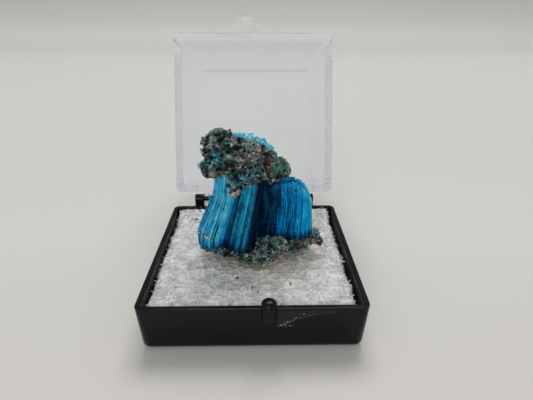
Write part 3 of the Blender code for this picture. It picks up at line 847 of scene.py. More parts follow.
def makeFoamFinish(name, clear):
    finish, tree, shader = newFinish(
        name, Roughness=0.3, Alpha=1.0 - clear, IOR=1.4, Subsurface_Weight=0.85 * (clear == 0.0),
        Subsurface_Scale=1.1 * mm,
    )
    shader.inputs["Subsurface Radius"].default_value = (1.0, 1.0, 1.0)
    place = objectPlace(tree)
    murk = noiseOf(tree, place, 900.0, 4.0, 0.6, 0.6)
    if clear:
        tone = ramp(tree, murk, [(0.3, (0.80, 0.81, 0.80)), (0.7, (0.94, 0.94, 0.93))])
    else:
        # the pad's tone carries its painted highlight on the crests and painted shade in the pits
        level = maths(tree, "ADD", toneOf(tree), swing(tree, murk, 0.5))
        tone = ramp(tree, level, [
            (0.1, (0.46, 0.47, 0.46)), (0.5, (0.70, 0.70, 0.68)), (0.9, (0.96, 0.96, 0.95)),
        ])
    # a warm, darker tint in a round patch under the specimen: painted shade
    sockets = {"Vector": place, "Location": (-0.3, 0.35, 0.0), "Scale": (115.0, 115.0, 0.0)}
    under = addNode(tree, "Mapping", sockets).outputs[0]
    shade = addNode(tree, "TexGradient", {"Vector": under}, gradient_type="SPHERICAL").outputs["Fac"]
    shadedUnderSpecimen = mixColours(tree, shade, tone, (1.0, 0.92, 0.80), "MULTIPLY")
    tree.links.new(shadedUnderSpecimen, shader.inputs["Base Color"])
    tree.links.new(bumpOf(tree, murk, 0.35, 0.10), shader.inputs["Normal"])
    return finish


def sheetFaces(across, along):
    # faces of a thin closed sheet: top grid, bottom grid, and the strip round the edge
    top, rim = gridParts(across, along)
    below, after = across * along, np.roll(rim, -1)
    side = np.stack([after, rim, rim + below, after + below], 1)
    return np.concatenate([top, top[:, ::-1] + below, side])


def makeFilmFlakes(top, wall):
    size = foamSet
    draw = np.random.default_rng(size["seed"])
    across, along = 4, 5
    spans = (np.linspace(-0.5, 0.5, steps) for steps in (across, along))
    u, v = (field.ravel() for field in np.meshgrid(*spans))
    count = size["flakes"]
    chance = 0.6 * np.exp(-((wall / 0.2) ** 2)) + 0.1
    low, high = (np.array(corner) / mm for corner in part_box("foam_insert"))
    fromEdge = np.minimum(top[:, 0] - low[0], high[0] - top[:, 0])
    chance += 1.2 * (fromEdge < 0.8)
    chosen = draw.choice(len(top), count, p=chance / chance.sum())
    verts = np.empty((count, 2 * across * along, 3))
    for index, spot in enumerate(chosen):
        length, width = draw.uniform(0.5, 1.7), draw.uniform(0.10, 0.32)
        curl = draw.uniform(0.6, 2.6)
        outline = 1.0 + 0.35 * draw.standard_normal(along).repeat(across)
        arc = v * curl
        bow = np.stack([np.sin(arc), np.cos(arc) - 1]) * length / curl
        shape = np.stack([u * width * outline, *bow], 1)
        shape += 0.04 * draw.standard_normal(shape.shape)
        turn = turnOf(
            ("Z", draw.uniform(0, 2 * math.pi)), ("X", draw.normal(0, 0.4)), ("Y", draw.normal(0, 0.7)),
        )
        turned = shape @ turn.T
        normal = turn[:, 2] * 0.015
        centre = top[spot] + [0, 0, 0.08]
        verts[index] = np.concatenate([turned + normal, turned - normal]) + centre
        if np.abs(verts[index, :, :2]).max() > size["lidInside"]:
            verts[index, :, 2] -= max(0.0, verts[index, :, 2].max() - size["underLid"])
    verts[..., :2] = np.clip(verts[..., :2], low[:2] - 0.05, high[:2] + 0.05)
    flakes = joinedForms("foamFilm", verts, sheetFaces(across, along))
    pick(flakes)
    bpy.ops.object.shade_smooth()
    finishPiece(flakes, makeFoamFinish("foamFilmSkin", 0.62), "base", "white_foam")


top, wall = makeFoam()
makeFilmFlakes(top, wall)
print("foam is made")


# Bundles of blue fibres. Stations: height, left, right, front, back
# Rows that change the tone across a bundle are a reach across it and what they add to the tone from one end
# to the other: painted light and shade, lighter where the bundle faces the light or glows through at its edge
# and darker in its shaded middle and recesses

bundleSet = {
    "left": {
        "stations": [
            (10.3, -8.8, -3.9, -4.7, 1.0), (12.1, -8.9, -3.5, -4.9, 1.2), (14.0, -8.1, -2.9, -4.9, 1.2),
            (16.2, -7.0, -2.4, -4.8, 1.2), (18.5, -5.9, -1.9, -4.6, 1.2), (20.8, -5.8, -1.5, -4.4, 1.2),
            (22.8, -5.5, -1.2, -4.2, 1.2),
        ],
        "ribs": 21, "around": 240, "layers": (1.0, 0.95, 0.88), "groove": 0.06, "seed": 31,
        "tone": 0.70, "paintedLightAndShade": [((0.62, 0.95), -0.42), ((0.25, 0.0), -0.12)],
        "paintedValleyShade": 0.10, "paintedTopLight": 0.0, "paintedFootShade": 0.4,
    },
    "middle": {
        "stations": [
            (10.0, -4.4, 0.0, -5.6, 0.6), (12.0, -3.9, 0.3, -5.5, 0.6), (14.2, -3.3, 0.6, -5.3, 0.6),
            (16.7, -2.6, 1.0, -5.0, 0.6), (19.0, -2.0, 1.4, -4.6, 0.6), (21.0, -1.6, 1.6, -4.2, 0.6),
            (22.8, -1.3, 1.7, -4.0, 0.6),
        ],
        "ribs": 12, "around": 190, "layers": (1.0, 0.94, 0.86), "groove": 0.16, "seed": 32,
        "tone": 0.49, "paintedLightAndShade": [((0.25, 0.0), -0.3), ((0.3, 0.45), 0.16), ((0.62, 0.85), -0.8)],
        "paintedValleyShade": 0.35, "paintedTopLight": 0.0, "paintedFootShade": 0.4,
    },
    "right": {
        "stations": [
            (10.7, 0.6, 9.7, -2.9, 4.4), (12.6, 0.8, 9.6, -2.9, 4.5), (14.6, 1.2, 9.5, -2.8, 4.5),
            (16.4, 1.7, 9.45, -2.7, 4.0), (17.9, 2.2, 8.7, -2.5, 3.0), (19.1, 2.7, 7.6, -2.1, 2.3),
            (19.7, 3.6, 6.3, -1.6, 1.5),
        ],
        "ribs": 34, "around": 222, "layers": (1.0, 0.96, 0.9, 0.82, 0.73, 0.63, 0.52, 0.4, 0.28),
        "groove": 0.03, "seed": 33, "straightFrom": 16.4,
        "tone": -0.03, "paintedLightAndShade": [((0.12, 0.45), 0.36), ((0.55, 0.97), 0.3), ((0.22, 0.05), -0.35)],
        "paintedValleyShade": 0.1, "paintedTopLight": 0.25, "paintedFootShade": 0.3,
    },
    "back": {
        "stations": [
            (9.9, -5.6, 5.4, -1.0, 5.4), (14.0, -5.6, 5.2, -1.0, 5.6), (19.0, -5.2, 4.6, -1.0, 5.6),
            (22.0, -4.8, 3.8, -0.9, 5.2), (24.0, -4.5, 2.8, -0.5, 4.8), (25.2, -4.2, 1.4, 0.0, 4.4),
            (25.8, -3.6, -0.2, 0.4, 3.8),
        ],
        "ribs": 26, "around": 150, "layers": (1.0, 0.95, 0.88), "groove": 0.06, "seed": 34,
        "tone": 0.52, "paintedLightAndShade": [((0.46, 0.56), -0.5), ((0.62, 0.72), 0.5)],
        "paintedValleyShade": 0.1, "paintedTopLight": 0.45, "paintedFootShade": 0.0,
    },
}


def smoothStations(stations, heights):
    # left, right, front and back at each height, with the corners between stations eased
    rows = np.array(stations)
    fine = np.linspace(rows[0, 0], rows[-1, 0], 80)
    outlines = []
    for column in range(1, 5):
        line = np.interp(fine, rows[:, 0], rows[:, column])
        for _ in range(24):
            line[1:-1] = (line[:-2] + 2 * line[1:-1] + line[2:]) / 4
        outlines.append(np.interp(heights, fine, line))
    return outlines


def ringPoint(angle, outlines, share):
    left, right, front, back = outlines
    across = np.sign(np.cos(angle)) * np.abs(np.cos(angle)) ** 0.75
    along = np.sign(np.sin(angle)) * np.abs(np.sin(angle)) ** 0.75
    x = (left + right) / 2 + across * (right - left) / 2 * share
    y = (front + back) / 2 + along * (back - front) / 2 * share
    return x, y


def topOf(stations, x, start):
    # height at which a straight fibre at this x comes out of the rounded top
    heights = np.linspace(start, stations[-1][0], 60)
    left, right = smoothStations(stations, heights)[:2]
    inside = np.nonzero((left <= x) & (x <= right))[0]
    return heights[inside[-1]] if len(inside) else start


def makeFibres(name, size):
    draw = np.random.default_rng(size["seed"])
    stations = size["stations"]
    foot, head = stations[0][0], stations[-1][0]
    ribs, groove, straight = size["ribs"], size["groove"], size.get("straightFrom")
    ribEdges = (np.arange(ribs) + draw.uniform(-0.3, 0.3, ribs)) * 2 * math.pi / ribs
    ribTone = draw.uniform(-0.08, 0.08, ribs)
    sides, rings = 6, 12
    section = np.arange(sides) * 2 * math.pi / sides
    tubes, tones = [], []
    for depth, share in enumerate(size["layers"]):
        count = max(12, int(size["around"] * share))
        for index in range(count):
            angle = (index + draw.uniform(-0.45, 0.45)) * 2 * math.pi / count
            rib = int(np.searchsorted(ribEdges, angle % (2 * math.pi))) % ribs
            span = (ribEdges[rib] - ribEdges[rib - 1]) % (2 * math.pi) or 0.1
            inRib = min(((angle - ribEdges[rib - 1]) % (2 * math.pi)) / span, 1.0)
            valley = 1 - math.sin(math.pi * inRib) ** 0.7
            bottom = foot + draw.uniform(-0.25, 0.5) - 0.4 * (1 - valley) * (depth == 0)
            end = head + draw.uniform(-0.3, 0.1)
            if straight:
                x = ringPoint(angle, smoothStations(stations, np.array([straight])), share)[0][0]
                end = topOf(stations, x, straight) + draw.uniform(-0.15, 0.1)
                bottom = bottom if depth < 3 else end - draw.uniform(3.0, 5.0)
            elif draw.random() < 0.25:
                end -= draw.uniform(0.5, 7.0)
            heights = np.linspace(bottom, max(end, bottom + 1.0), rings)
            rising = (heights - foot) / (head - foot)
            deepen = 0.55 + 1.2 * np.clip(1 - rising, 0, 1) ** 2
            reach = share * (1 - groove * valley * deepen) + draw.uniform(-0.012, 0.012)
            outlines = smoothStations(stations, heights)
            if straight:
                outlines[:2] = smoothStations(stations, np.minimum(heights, straight))[:2]
            drift = 0.05 * np.cumsum(draw.standard_normal(rings)) / math.sqrt(rings)
            x, y = ringPoint(angle + drift, outlines, reach)
            needle = draw.random() < 0.05
            wide, thick = draw.uniform(0.06, 0.14), draw.uniform(0.06, 0.10)
            if needle:
                wide, thick = 0.05, 0.05
            taper = np.ones(rings)
            taper[-1], taper[-2], taper[0] = 0.45, 0.9, 0.6
            spin = angle + math.pi / 2 + draw.normal(0, 0.35)
            ringX = np.outer(taper * wide, np.cos(section))
            ringY = np.outer(taper * thick, np.sin(section))
            px = x[:, None] + ringX * math.cos(spin) - ringY * math.sin(spin)
            py = y[:, None] + ringX * math.sin(spin) + ringY * math.cos(spin)
            tubes.append(np.stack([px, py, np.repeat(heights[:, None], sides, 1)], -1))
            # needles are made paler than the other fibres: painted highlight streaks for the fibres' silky
            # sheen
            tone = size["tone"] + ribTone[rib] + draw.normal(0, 0.09) + 0.35 * needle
            # inner layers and the rib valleys are made darker: painted shade
            tone -= 0.1 * depth * (straight is None) + size["paintedValleyShade"] * valley * deepen
            # lighter and darker reaches across the bundle: painted light and shade
            across = (x - outlines[0]) / (outlines[1] - outlines[0])
            for (start, stop), paintedLightAndShade in size["paintedLightAndShade"]:
                tone += paintedLightAndShade * np.clip((across - start) / (stop - start), 0, 1)
            # darker near the foot, where the fibres meet the crust: painted shade
            tone -= size["paintedFootShade"] * np.clip(1 - (heights - foot) / 1.3, 0, 1)
            # lighter near the top of each fibre: painted highlight
            tone += size["paintedTopLight"] * np.clip(1 - (heights[-1] - heights) / 1.6, 0, 1)
            tones.append(np.repeat(tone, sides))
    piece = tubesPiece(name, tubes)
    numberPoints(piece, "tone", np.concatenate(tones))
    shadeByAngle(piece, 35)
    return piece


blueSet = {
    "left": [(0.0, (0.000, 0.010, 0.050)), (0.3, (0.002, 0.085, 0.26)), (0.6, (0.012, 0.38, 0.84)),
             (0.85, (0.08, 0.72, 0.98)), (1.0, (0.45, 0.88, 0.98))],
    "middle": [(0.0, (0.000, 0.008, 0.035)), (0.3, (0.002, 0.08, 0.20)), (0.6, (0.008, 0.34, 0.64)),
               (0.85, (0.06, 0.64, 0.88)), (1.0, (0.40, 0.84, 0.94))],
    "right": [(0.0, (0.000, 0.014, 0.045)), (0.3, (0.000, 0.055, 0.20)), (0.6, (0.001, 0.34, 0.92)),
              (0.85, (0.008, 0.68, 1.0)), (1.0, (0.30, 0.88, 1.0))],
    "back": [(0.0, (0.000, 0.010, 0.055)), (0.3, (0.001, 0.09, 0.26)), (0.6, (0.004, 0.35, 0.80)),
             (0.85, (0.04, 0.62, 0.97)), (1.0, (0.3, 0.85, 0.98))],
    "cap": [(0.0, (0.001, 0.16, 0.36)), (0.35, (0.014, 0.50, 0.76)), (0.62, (0.10, 0.69, 0.90)),
            (0.85, (0.40, 0.88, 0.97)), (1.0, (0.80, 0.97, 1.0))],
}


def makeBlue(name, stops, shine=0.06):
    finish, tree, shader = newFinish(
        name, IOR=1.5, Specular_IOR_Level=shine, Roughness=0.3, Subsurface_Weight=0.55,
        Subsurface_Scale=0.5 * mm,
    )
    shader.inputs["Subsurface Radius"].default_value = (0.3, 0.8, 1.0)
    place = objectPlace(tree)
    sockets = {"Vector": place, "Scale": (8500.0, 8500.0, 300.0)}
    streak = noiseOf(tree, addNode(tree, "Mapping", sockets).outputs[0], 1.0, 3.0, 0.6)
    patch = noiseOf(tree, place, 600.0, 3.0, 0.55)
    varied = maths(tree, "ADD", toneOf(tree), swing(tree, streak, 0.75))
    varied = maths(tree, "ADD", varied, swing(tree, patch, 0.7), True)
    # bright dots from a fine noise: painted glints
    paintedGlints = ramp(tree, noiseOf(tree, place, 7000.0, 1.0), [(0.70, grey(0.0)), (0.76, grey(0.55))])
    glintDotted = mixColours(tree, paintedGlints, ramp(tree, varied, stops), (0.45, 0.80, 0.92))
    tree.links.new(glintDotted, shader.inputs["Base Color"])
    tree.links.new(bumpOf(tree, streak, 0.5, 0.06), shader.inputs["Normal"])
    return finish


def makeCrystalCore():
    core = mergedCopy("chalcanthite_crystals", "crystalCore")
    applyModifier(core, "DISPLACE", strength=-0.3 * mm, mid_level=0.0)
    startEditing(core)
    pickWhere("VERT", lambda v: v.co.z > 23.5 * mm)
    bpy.ops.transform.translate(value=(0.0, 0.0, -0.6 * mm))
    stopEditing()
    finish, tree, shader = newFinish("deepBlue", Roughness=0.5, Specular_IOR_Level=0.05)
    murk = noiseOf(tree, objectPlace(tree), 900.0)
    dark = ramp(tree, murk, [(0.3, (0.0, 0.012, 0.04)), (0.7, (0.001, 0.05, 0.13))])
    pale = ramp(tree, murk, [(0.3, (0.003, 0.28, 0.62)), (0.7, (0.08, 0.60, 0.88))])
    height = addNode(tree, "SeparateXYZ", {"Vector": objectPlace(tree)}).outputs["Z"]
    inCap = addNode(tree, "MapRange", {"Value": height, 1: 21.5 * mm, 2: 23.0 * mm}).outputs[0]
    tree.links.new(mixColours(tree, inCap, dark, pale), shader.inputs["Base Color"])
    finishPiece(core, finish, "base", "chalcanthite_blue", "chalcanthite_crystals")


makeCrystalCore()
for name, size in bundleSet.items():
    piece = makeFibres(name + "Fibres", size)
    finishPiece(piece, makeBlue(name + "Blue", blueSet[name]), "base", "chalcanthite_blue")
    print(name, "fibres are made,", len(piece.data.polygons), "faces")


# Crusts: the frame's solid, finely remeshed, roughened and coloured point by point

# crevice is the near-black of the painted shade in cracks and hollows, and also colours dark specks
crustTones = {
    "crevice": (0.006, 0.010, 0.011), "charcoal": (0.052, 0.066, 0.063), "greyGreen": (0.17, 0.205, 0.19),
    "ash": (0.40, 0.41, 0.38), "pinkGrey": (0.60, 0.53, 0.51), "malachite": (0.05, 0.27, 0.19),
    "teal": (0.012, 0.30, 0.42), "azure": (0.006, 0.42, 0.72), "rust": (0.17, 0.055, 0.022),
    "tan": (0.42, 0.31, 0.21), "orange": (0.60, 0.27, 0.07), "darkTeal": (0.02, 0.10, 0.13),
}
# stains and painted shade: photograph pixel, radius in millimetres, tone, strength. The near-black crevice
# entries are painted shade in cracks and hollows; the others are the crust's own colours.
upperStainsAndShade = [
    ((216, 157), 1.5, "teal", 0.85), ((206, 160), 0.8, "azure", 0.8), ((227, 154), 0.9, "teal", 0.5),
    ((250, 156), 0.75, "pinkGrey", 0.9), ((243, 160), 0.8, "ash", 0.6), ((203, 153), 0.9, "pinkGrey", 0.45),
    ((266, 166), 0.95, "rust", 1.0), ((262, 158), 0.7, "rust", 0.5), ((279, 168), 1.4, "malachite", 0.75),
    ((250, 146), 1.1, "malachite", 0.4), ((258, 150), 1.0, "rust", 0.35), ((236, 182), 1.4, "teal", 0.8),
    ((246, 178), 1.2, "teal", 0.75), ((228, 186), 1.0, "azure", 0.6), ((234, 195), 0.8, "tan", 0.9),
    ((251, 183), 0.5, "tan", 0.7), ((265, 180), 1.0, "teal", 0.7), ((268, 186), 0.7, "malachite", 0.6),
    ((212, 173), 1.0, "pinkGrey", 0.35), ((225, 177), 0.9, "pinkGrey", 0.35), ((208, 178), 0.6, "ash", 0.5),
    ((256, 172), 0.8, "teal", 0.7), ((214, 134), 1.6, "charcoal", 0.5), ((240, 170), 1.1, "charcoal", 0.6),
    ((230, 163), 0.9, "charcoal", 0.6), ((205, 146), 0.8, "tan", 0.35), ((270, 154), 1.2, "charcoal", 0.75),
    ((286, 163), 1.0, "charcoal", 0.6), ((263, 147), 0.9, "charcoal", 0.6), ((274, 176), 1.0, "crevice", 0.7),
    ((222, 168), 0.7, "crevice", 0.7), ((238, 164), 0.7, "crevice", 0.7), ((219, 144), 0.6, "crevice", 0.6),
]
lowerStainsAndShade = [
    ((271, 240), 0.8, "azure", 0.8), ((262, 251), 0.9, "teal", 0.6), ((272, 250), 0.5, "malachite", 0.8),
    ((283, 247), 0.6, "malachite", 0.6), ((290, 252), 0.6, "malachite", 0.5),
    ((255, 245), 1.1, "crevice", 0.9), ((262, 241), 0.9, "crevice", 0.8),
    ((301, 241), 0.9, "pinkGrey", 0.9), ((308, 238), 0.9, "ash", 0.9), ((295, 246), 0.8, "ash", 0.6),
    ((319, 241), 0.45, "orange", 0.95), ((258, 258), 1.0, "pinkGrey", 0.4),
    ((279, 256), 1.0, "pinkGrey", 0.4), ((316, 232), 0.9, "teal", 0.35), ((222, 250), 1.0, "teal", 0.3),
    ((206, 248), 1.1, "tan", 0.3), ((240, 256), 1.2, "crevice", 0.7), ((228, 254), 1.0, "crevice", 0.5),
]
crustSet = {
    "upper": {"node": "upper_matrix", "seed": 5.0, "grains": 420, "stainsAndShade": upperStainsAndShade},
    "lower": {"node": "lower_matrix", "seed": 16.0, "grains": 300, "stainsAndShade": lowerStainsAndShade},
}
crustShape = {
    "voxel": 0.105, "heights": (0.22, 0.58, 0.42, 0.26),  # share of swell, lump, rubble and fold
    "level": 0.10,
}


def sightHit(tree, across, down):
    start, towards = sightLine(across, down)
    place = tree.ray_cast(start, towards)[0]
    return place / mm if place else None


def sightHits(tree, spots):
    # where the lines of sight through some pixels meet a surface, without those that miss it
    found = [sightHit(tree, *spot) for spot in spots]
    return [np.array(hit) for hit in found if hit is not None]


def roughPoint(place, seed):
    # signed height at a point of a crust: broad swells, lumps, rubble and grit
    p = Vector(place)
    shift = Vector((seed, 0.5 * seed, -seed))
    swell = noise.fractal(p / 1.6 + shift, 1.0, 2.0, 2)
    bent = p + 0.45 * driftAt(p / 0.9 + shift)
    lump = 0.45 - noise.voronoi(bent / 1.3 + shift)[0][0]
    rubble = 0.45 - noise.voronoi(bent / 0.55 - shift)[0][0]
    fold = 0.5 - 2.2 * abs(noise.noise(Vector((bent.x, bent.y, 1.7 * bent.z)) / 0.75 - shift))
    return swell, lump, rubble, fold


def crustColours(points, heights, seed, stainsAndShade):
    swell, lump, rubble, fold = heights.T
    tone = {name: np.array(value) for name, value in crustTones.items()}
    # the colour follows the height: hollows go towards near black and tips towards pale grey, painted shade
    # in the crevices and a painted highlight on the tips, over the crust's own dark and pale minerals
    level = 0.49 + 0.65 * lump + 0.6 * rubble + 0.5 * fold + 0.2 * swell
    stops = [(0.22, "crevice"), (0.42, "charcoal"), (0.64, "greyGreen"), (0.95, "ash"), (1.2, "pinkGrey")]
    places = [stop[0] for stop in stops]
    steps = np.array([tone[stop[1]] for stop in stops])
    colours = np.stack([np.interp(level, places, steps[:, i]) for i in range(3)], 1)
    # light darkens the green, blue and stain colours in hollows and lightens them on tips: painted shade and
    # painted highlight
    light = np.clip(level * 1.5 - 0.15, 0.08, 1.35)[:, None]
    green = np.clip(2.2 * noiseAt(points, 1.1, seed + 30) - 0.25, 0, 0.75)[:, None]
    colours += (tone["malachite"] * light - colours) * green * 0.7
    blue = np.clip(2.4 * noiseAt(points, 1.4, seed + 60) - 0.55, 0, 0.8)[:, None]
    colours += (tone["teal"] * light - colours) * blue * 0.6
    for place, radius, name, strength in stainsAndShade:
        away = np.linalg.norm(points - place, axis=1) / radius
        ragged = away * (1 + 0.7 * (rubble + fold))
        share = strength * np.clip(1.5 - 1.5 * ragged, 0, 1)[:, None]
        colours += (tone[name] * light - colours) * share
    return np.clip(colours, 0.001, 1.0)


def makeCrust(name, size):
    crust = mergedCopy(size["node"], name + "Crust")
    applyModifier(crust, "REMESH", mode="VOXEL", voxel_size=crustShape["voxel"] * mm)
    tree = treeOf(crust)
    places = []
    for spot, *stain in size["stainsAndShade"]:
        places.extend((hit, *stain) for hit in sightHits(tree, [spot]))
    points = pointsOf(crust)
    heights = np.array([roughPoint(p, size["seed"]) for p in points])
    flat = np.empty(len(points) * 3, np.float32)
    crust.data.vertices.foreach_get("normal", flat)
    normals = flat.reshape(-1, 3)
    out = heights @ np.array(crustShape["heights"]) - crustShape["level"]
    moved = points + normals * out[:, None]
    crust.data.vertices.foreach_set("co", (moved * mm).astype(np.float32).ravel())
    crust.data.update()
    paintPoints(crust, "tint", crustColours(points, heights, size["seed"], places))
    shadeByAngle(crust, 40)
    return crust, moved, normals, places


# one crumb: a ball of 12 points, which are pushed about
ball, ballFaces = formOf(bpy.ops.mesh.primitive_ico_sphere_add, subdivisions=1, radius=1.0)


def makeGrains(name, points, normals, size, places, draw):
    count = size["grains"]
    chosen = draw.choice(len(points), count, replace=False)
    verts, heights = np.empty((count, len(ball), 3)), np.empty((count, 4))
    for index, spot in enumerate(chosen):
        radius = draw.uniform(0.06, 0.16) * (1.8 if draw.random() < 0.1 else 1.0)
        squash = draw.uniform(0.55, 1.2, 3)
        lumps = ball * draw.uniform(0.75, 1.2, (len(ball), 1)) * squash * radius
        axis = Vector(draw.standard_normal(3)).normalized()
        turn = np.array(Matrix.Rotation(draw.uniform(0, math.pi), 3, axis))
        verts[index] = lumps @ turn.T + points[spot] + normals[spot] * radius * 0.35
        heights[index] = (0.0, draw.normal(0.1, 0.25), draw.normal(0.1, 0.2), 0.0)
    centres = verts.mean(1)
    colours = crustColours(centres, heights, size["seed"], places).repeat(len(ball), 0)
    grains = joinedForms(name + "Grains", verts, ballFaces)
    paintPoints(grains, "tint", colours)
    return grains


def makeCrustFinish(name, roughness, shine):
    finish, tree, shader = newFinish(name, Roughness=roughness, IOR=1.5, Specular_IOR_Level=shine)
    place = objectPlace(tree)
    tint = addNode(tree, "Attribute", attribute_name="tint").outputs["Color"]
    fine = noiseOf(tree, place, 3300.0, 4.0, 0.7)
    # the fine noise that also makes the bump darkens the colour in its low spots and lightens it on its high
    # ones: painted shade and painted highlight, together with the crust's own grit
    speckleAndShade = ramp(tree, fine, [(0.34, grey(0.22)), (0.5, grey(0.9)), (0.66, grey(2.1))])
    tree.links.new(mixColours(tree, 1.0, tint, speckleAndShade, "MULTIPLY"), shader.inputs["Base Color"])
    tree.links.new(bumpOf(tree, fine, 0.9, 0.20), shader.inputs["Normal"])
    return finish


def strandsPiece(name, paths, radii, colours, sides=5):
    # thin round strands along lists of points, each tapering at its ends
    section = (np.arange(sides) * 2 * math.pi / sides)[None, :, None]
    tubes, tints = [], []
    for path, radius, colour in zip(paths, radii, colours):
        path = np.asarray(path)
        along = np.gradient(path, axis=0)
        side = np.cross(along, [0.31, 0.22, 0.92])
        side /= np.linalg.norm(side, axis=1)[:, None] + 1e-9
        up = np.cross(along, side)
        up /= np.linalg.norm(up, axis=1)[:, None] + 1e-9
        thick = radius * np.sqrt(np.sin(np.linspace(0.12, math.pi - 0.12, len(path))))[:, None, None]
        ring = side[:, None] * np.cos(section) + up[:, None] * np.sin(section)
        tubes.append(path[:, None] + ring * thick)
        tints.append(np.tile(colour, (len(path) * sides, 1)))
    piece = tubesPiece(name, tubes)
    paintPoints(piece, "tint", np.concatenate(tints))
    shadeByAngle(piece, 60)
    return piece


crustFinish = makeCrustFinish("greenGreyCrust", 0.65, 0.25)
crusts = {}
for name, size in crustSet.items():
    draw = np.random.default_rng(int(size["seed"]))
    crust, points, normals, places = makeCrust(name, size)
    grains = makeGrains(name, points, normals, size, places, draw)
    finishPiece(crust, crustFinish, "base", "green_grey_crust", size["node"])
    finishPiece(grains, crustFinish, "base", "green_grey_crust")
    crusts[name] = (points, normals)
    print(name, "crust is made,", len(crust.data.polygons), "faces")


# Granular cap of small pale-blue crystals behind the upper crust

capSet = {
    "line": [(-3.7, 26.45), (-0.4, 26.45), (1.8, 25.5), (3.0, 24.3), (3.9, 23.1)],  # x and top height
    "front": 0.2, "back": 4.6, "count": 640, "deep": 2.8, "seed": 41,
}


def makeCap():
    draw = np.random.default_rng(capSet["seed"])
    form, faces = formOf(bpy.ops.mesh.primitive_cylinder_add, vertices=6, radius=1.0, depth=2.0)
    lineX, lineZ = np.array(capSet["line"]).T
    verts, tones = [], []
    middle = (capSet["front"] + capSet["back"]) / 2
    half = (capSet["back"] - capSet["front"]) / 2
    for _ in range(capSet["count"]):
        x = draw.uniform(lineX[0], lineX[-1])
        along = draw.uniform(-1, 1)
        aside = abs(2 * (x - lineX[0]) / (lineX[-1] - lineX[0]) - 1)
        ragged = 0.3 * noise.noise(Vector((x, along, 4.0)))
        y = middle + along * half * (1.05 - 0.45 * aside ** 3 + ragged)
        dome = 0.5 * along * along + 1.6 * max(0.0, abs(along) - 0.7)
        sunk = draw.uniform(0, 1) ** 2.5 * capSet["deep"]
        z = np.interp(x, lineX, lineZ) - dome - sunk - draw.uniform(0.15, 0.5)
        wide, tall = draw.uniform(0.15, 0.34), draw.uniform(0.18, 0.55)
        lean = draw.normal(0, 0.5), draw.normal(0, 0.5)
        turn = turnOf(("X", lean[0]), ("Y", lean[1]), ("Z", draw.uniform(0, math.pi)))
        shape = form.copy()
        shape[:, :2] *= np.where(form[:, 2:] > 0, draw.uniform(0.45, 0.9), 1.0)
        shape *= [wide, wide * draw.uniform(0.6, 1.0), tall]
        verts.append(shape @ turn.T + [x, y, z])
        tones.append(np.full(len(form), np.clip(draw.normal(0.58, 0.2), 0.1, 1.0)))
    cap = joinedForms("capCrystals", verts, faces)
    numberPoints(cap, "tone", np.concatenate(tones))
    finishPiece(cap, makeBlue("capBlue", blueSet["cap"], 0.35), "base", "chalcanthite_blue")


makeCap()
print("cap is made")


# Specks, crumbs, strands and the pale crumbs of painted glints, most placed by pixels of the photograph

detailSet = {
    "darkSpecks": [(219, 206), (213, 221), (236, 213), (237, 216), (241, 236), (229, 234), (223, 209),
                   (290, 182), (292, 186), (295, 190), (298, 186), (301, 189), (293, 178), (306, 193),
                   (310, 196), (309, 201), (212, 239), (247, 226), (262, 205)],
    "tanSpecks": [(219, 206), (205, 200), (309, 196), (308, 200), (241, 236), (238, 214)],
    "crustStrip": [(198, 229), (200, 232), (203, 235), (207, 237), (211, 239)],
    "sideLumps": [(212, 196), (213, 199), (211, 202), (212, 204)],
    "hangingLump": (234, 193),
    "foamSpecks": [(258, 292), (253, 287), (200, 211), (197, 220), (291, 284), (238, 278)],
    "glints": 140, "seed": 51,
    "scrapGlints": [(281, 325, 0.08), (284, 323, 0.06), (287, 322, 0.07), (290, 325.5, 0.09),
                    (293, 325, 0.06), (292, 321.5, 0.05), (286, 326, 0.05), (289, 322.5, 0.05),
                    (304, 314, 0.09)],  # pixel and radius
    "strands": [[(259, 160), (263, 166), (266, 174), (266, 182)],
                [(256, 164), (261, 171), (263, 178), (262, 186)]],
}
tangleSet = {  # pixel, radius, how many, tones
    "upper": [((280, 167), 1.6, 130, ("malachite", "charcoal", "greyGreen")),
              ((266, 167), 1.1, 50, ("rust", "crevice", "rust")),
              ((252, 147), 1.7, 70, ("malachite", "greyGreen", "ash"))],
    "lower": [((276, 250), 2.2, 150, ("greyGreen", "ash", "charcoal", "malachite")),
              ((306, 240), 1.6, 70, ("greyGreen", "ash", "charcoal"))],
}


def makeTangle(points, normals, centre, radius, count, tones, draw):
    # short curved fibres lying over a patch of crust
    near = np.nonzero(np.linalg.norm(points - centre, axis=1) < radius)[0]
    paths, radii, colours = [], [], []
    for spot in draw.choice(near, count):
        heading = np.cross(normals[spot], draw.standard_normal(3))
        heading /= np.linalg.norm(heading) + 1e-9
        bend = np.cross(normals[spot], heading) * draw.normal(0, 0.9)
        length = draw.uniform(0.4, 1.1)
        steps = np.linspace(-0.5, 0.5, 6)[:, None]
        path = points[spot] + steps * length * heading + (steps ** 2) * length * bend
        paths.append(path + normals[spot] * (0.10 - 0.5 * steps ** 2))
        radii.append(draw.uniform(0.03, 0.06))
        colours.append(np.array(crustTones[tones[draw.integers(len(tones))]]) * draw.uniform(0.8, 1.9))
    return paths, radii, colours


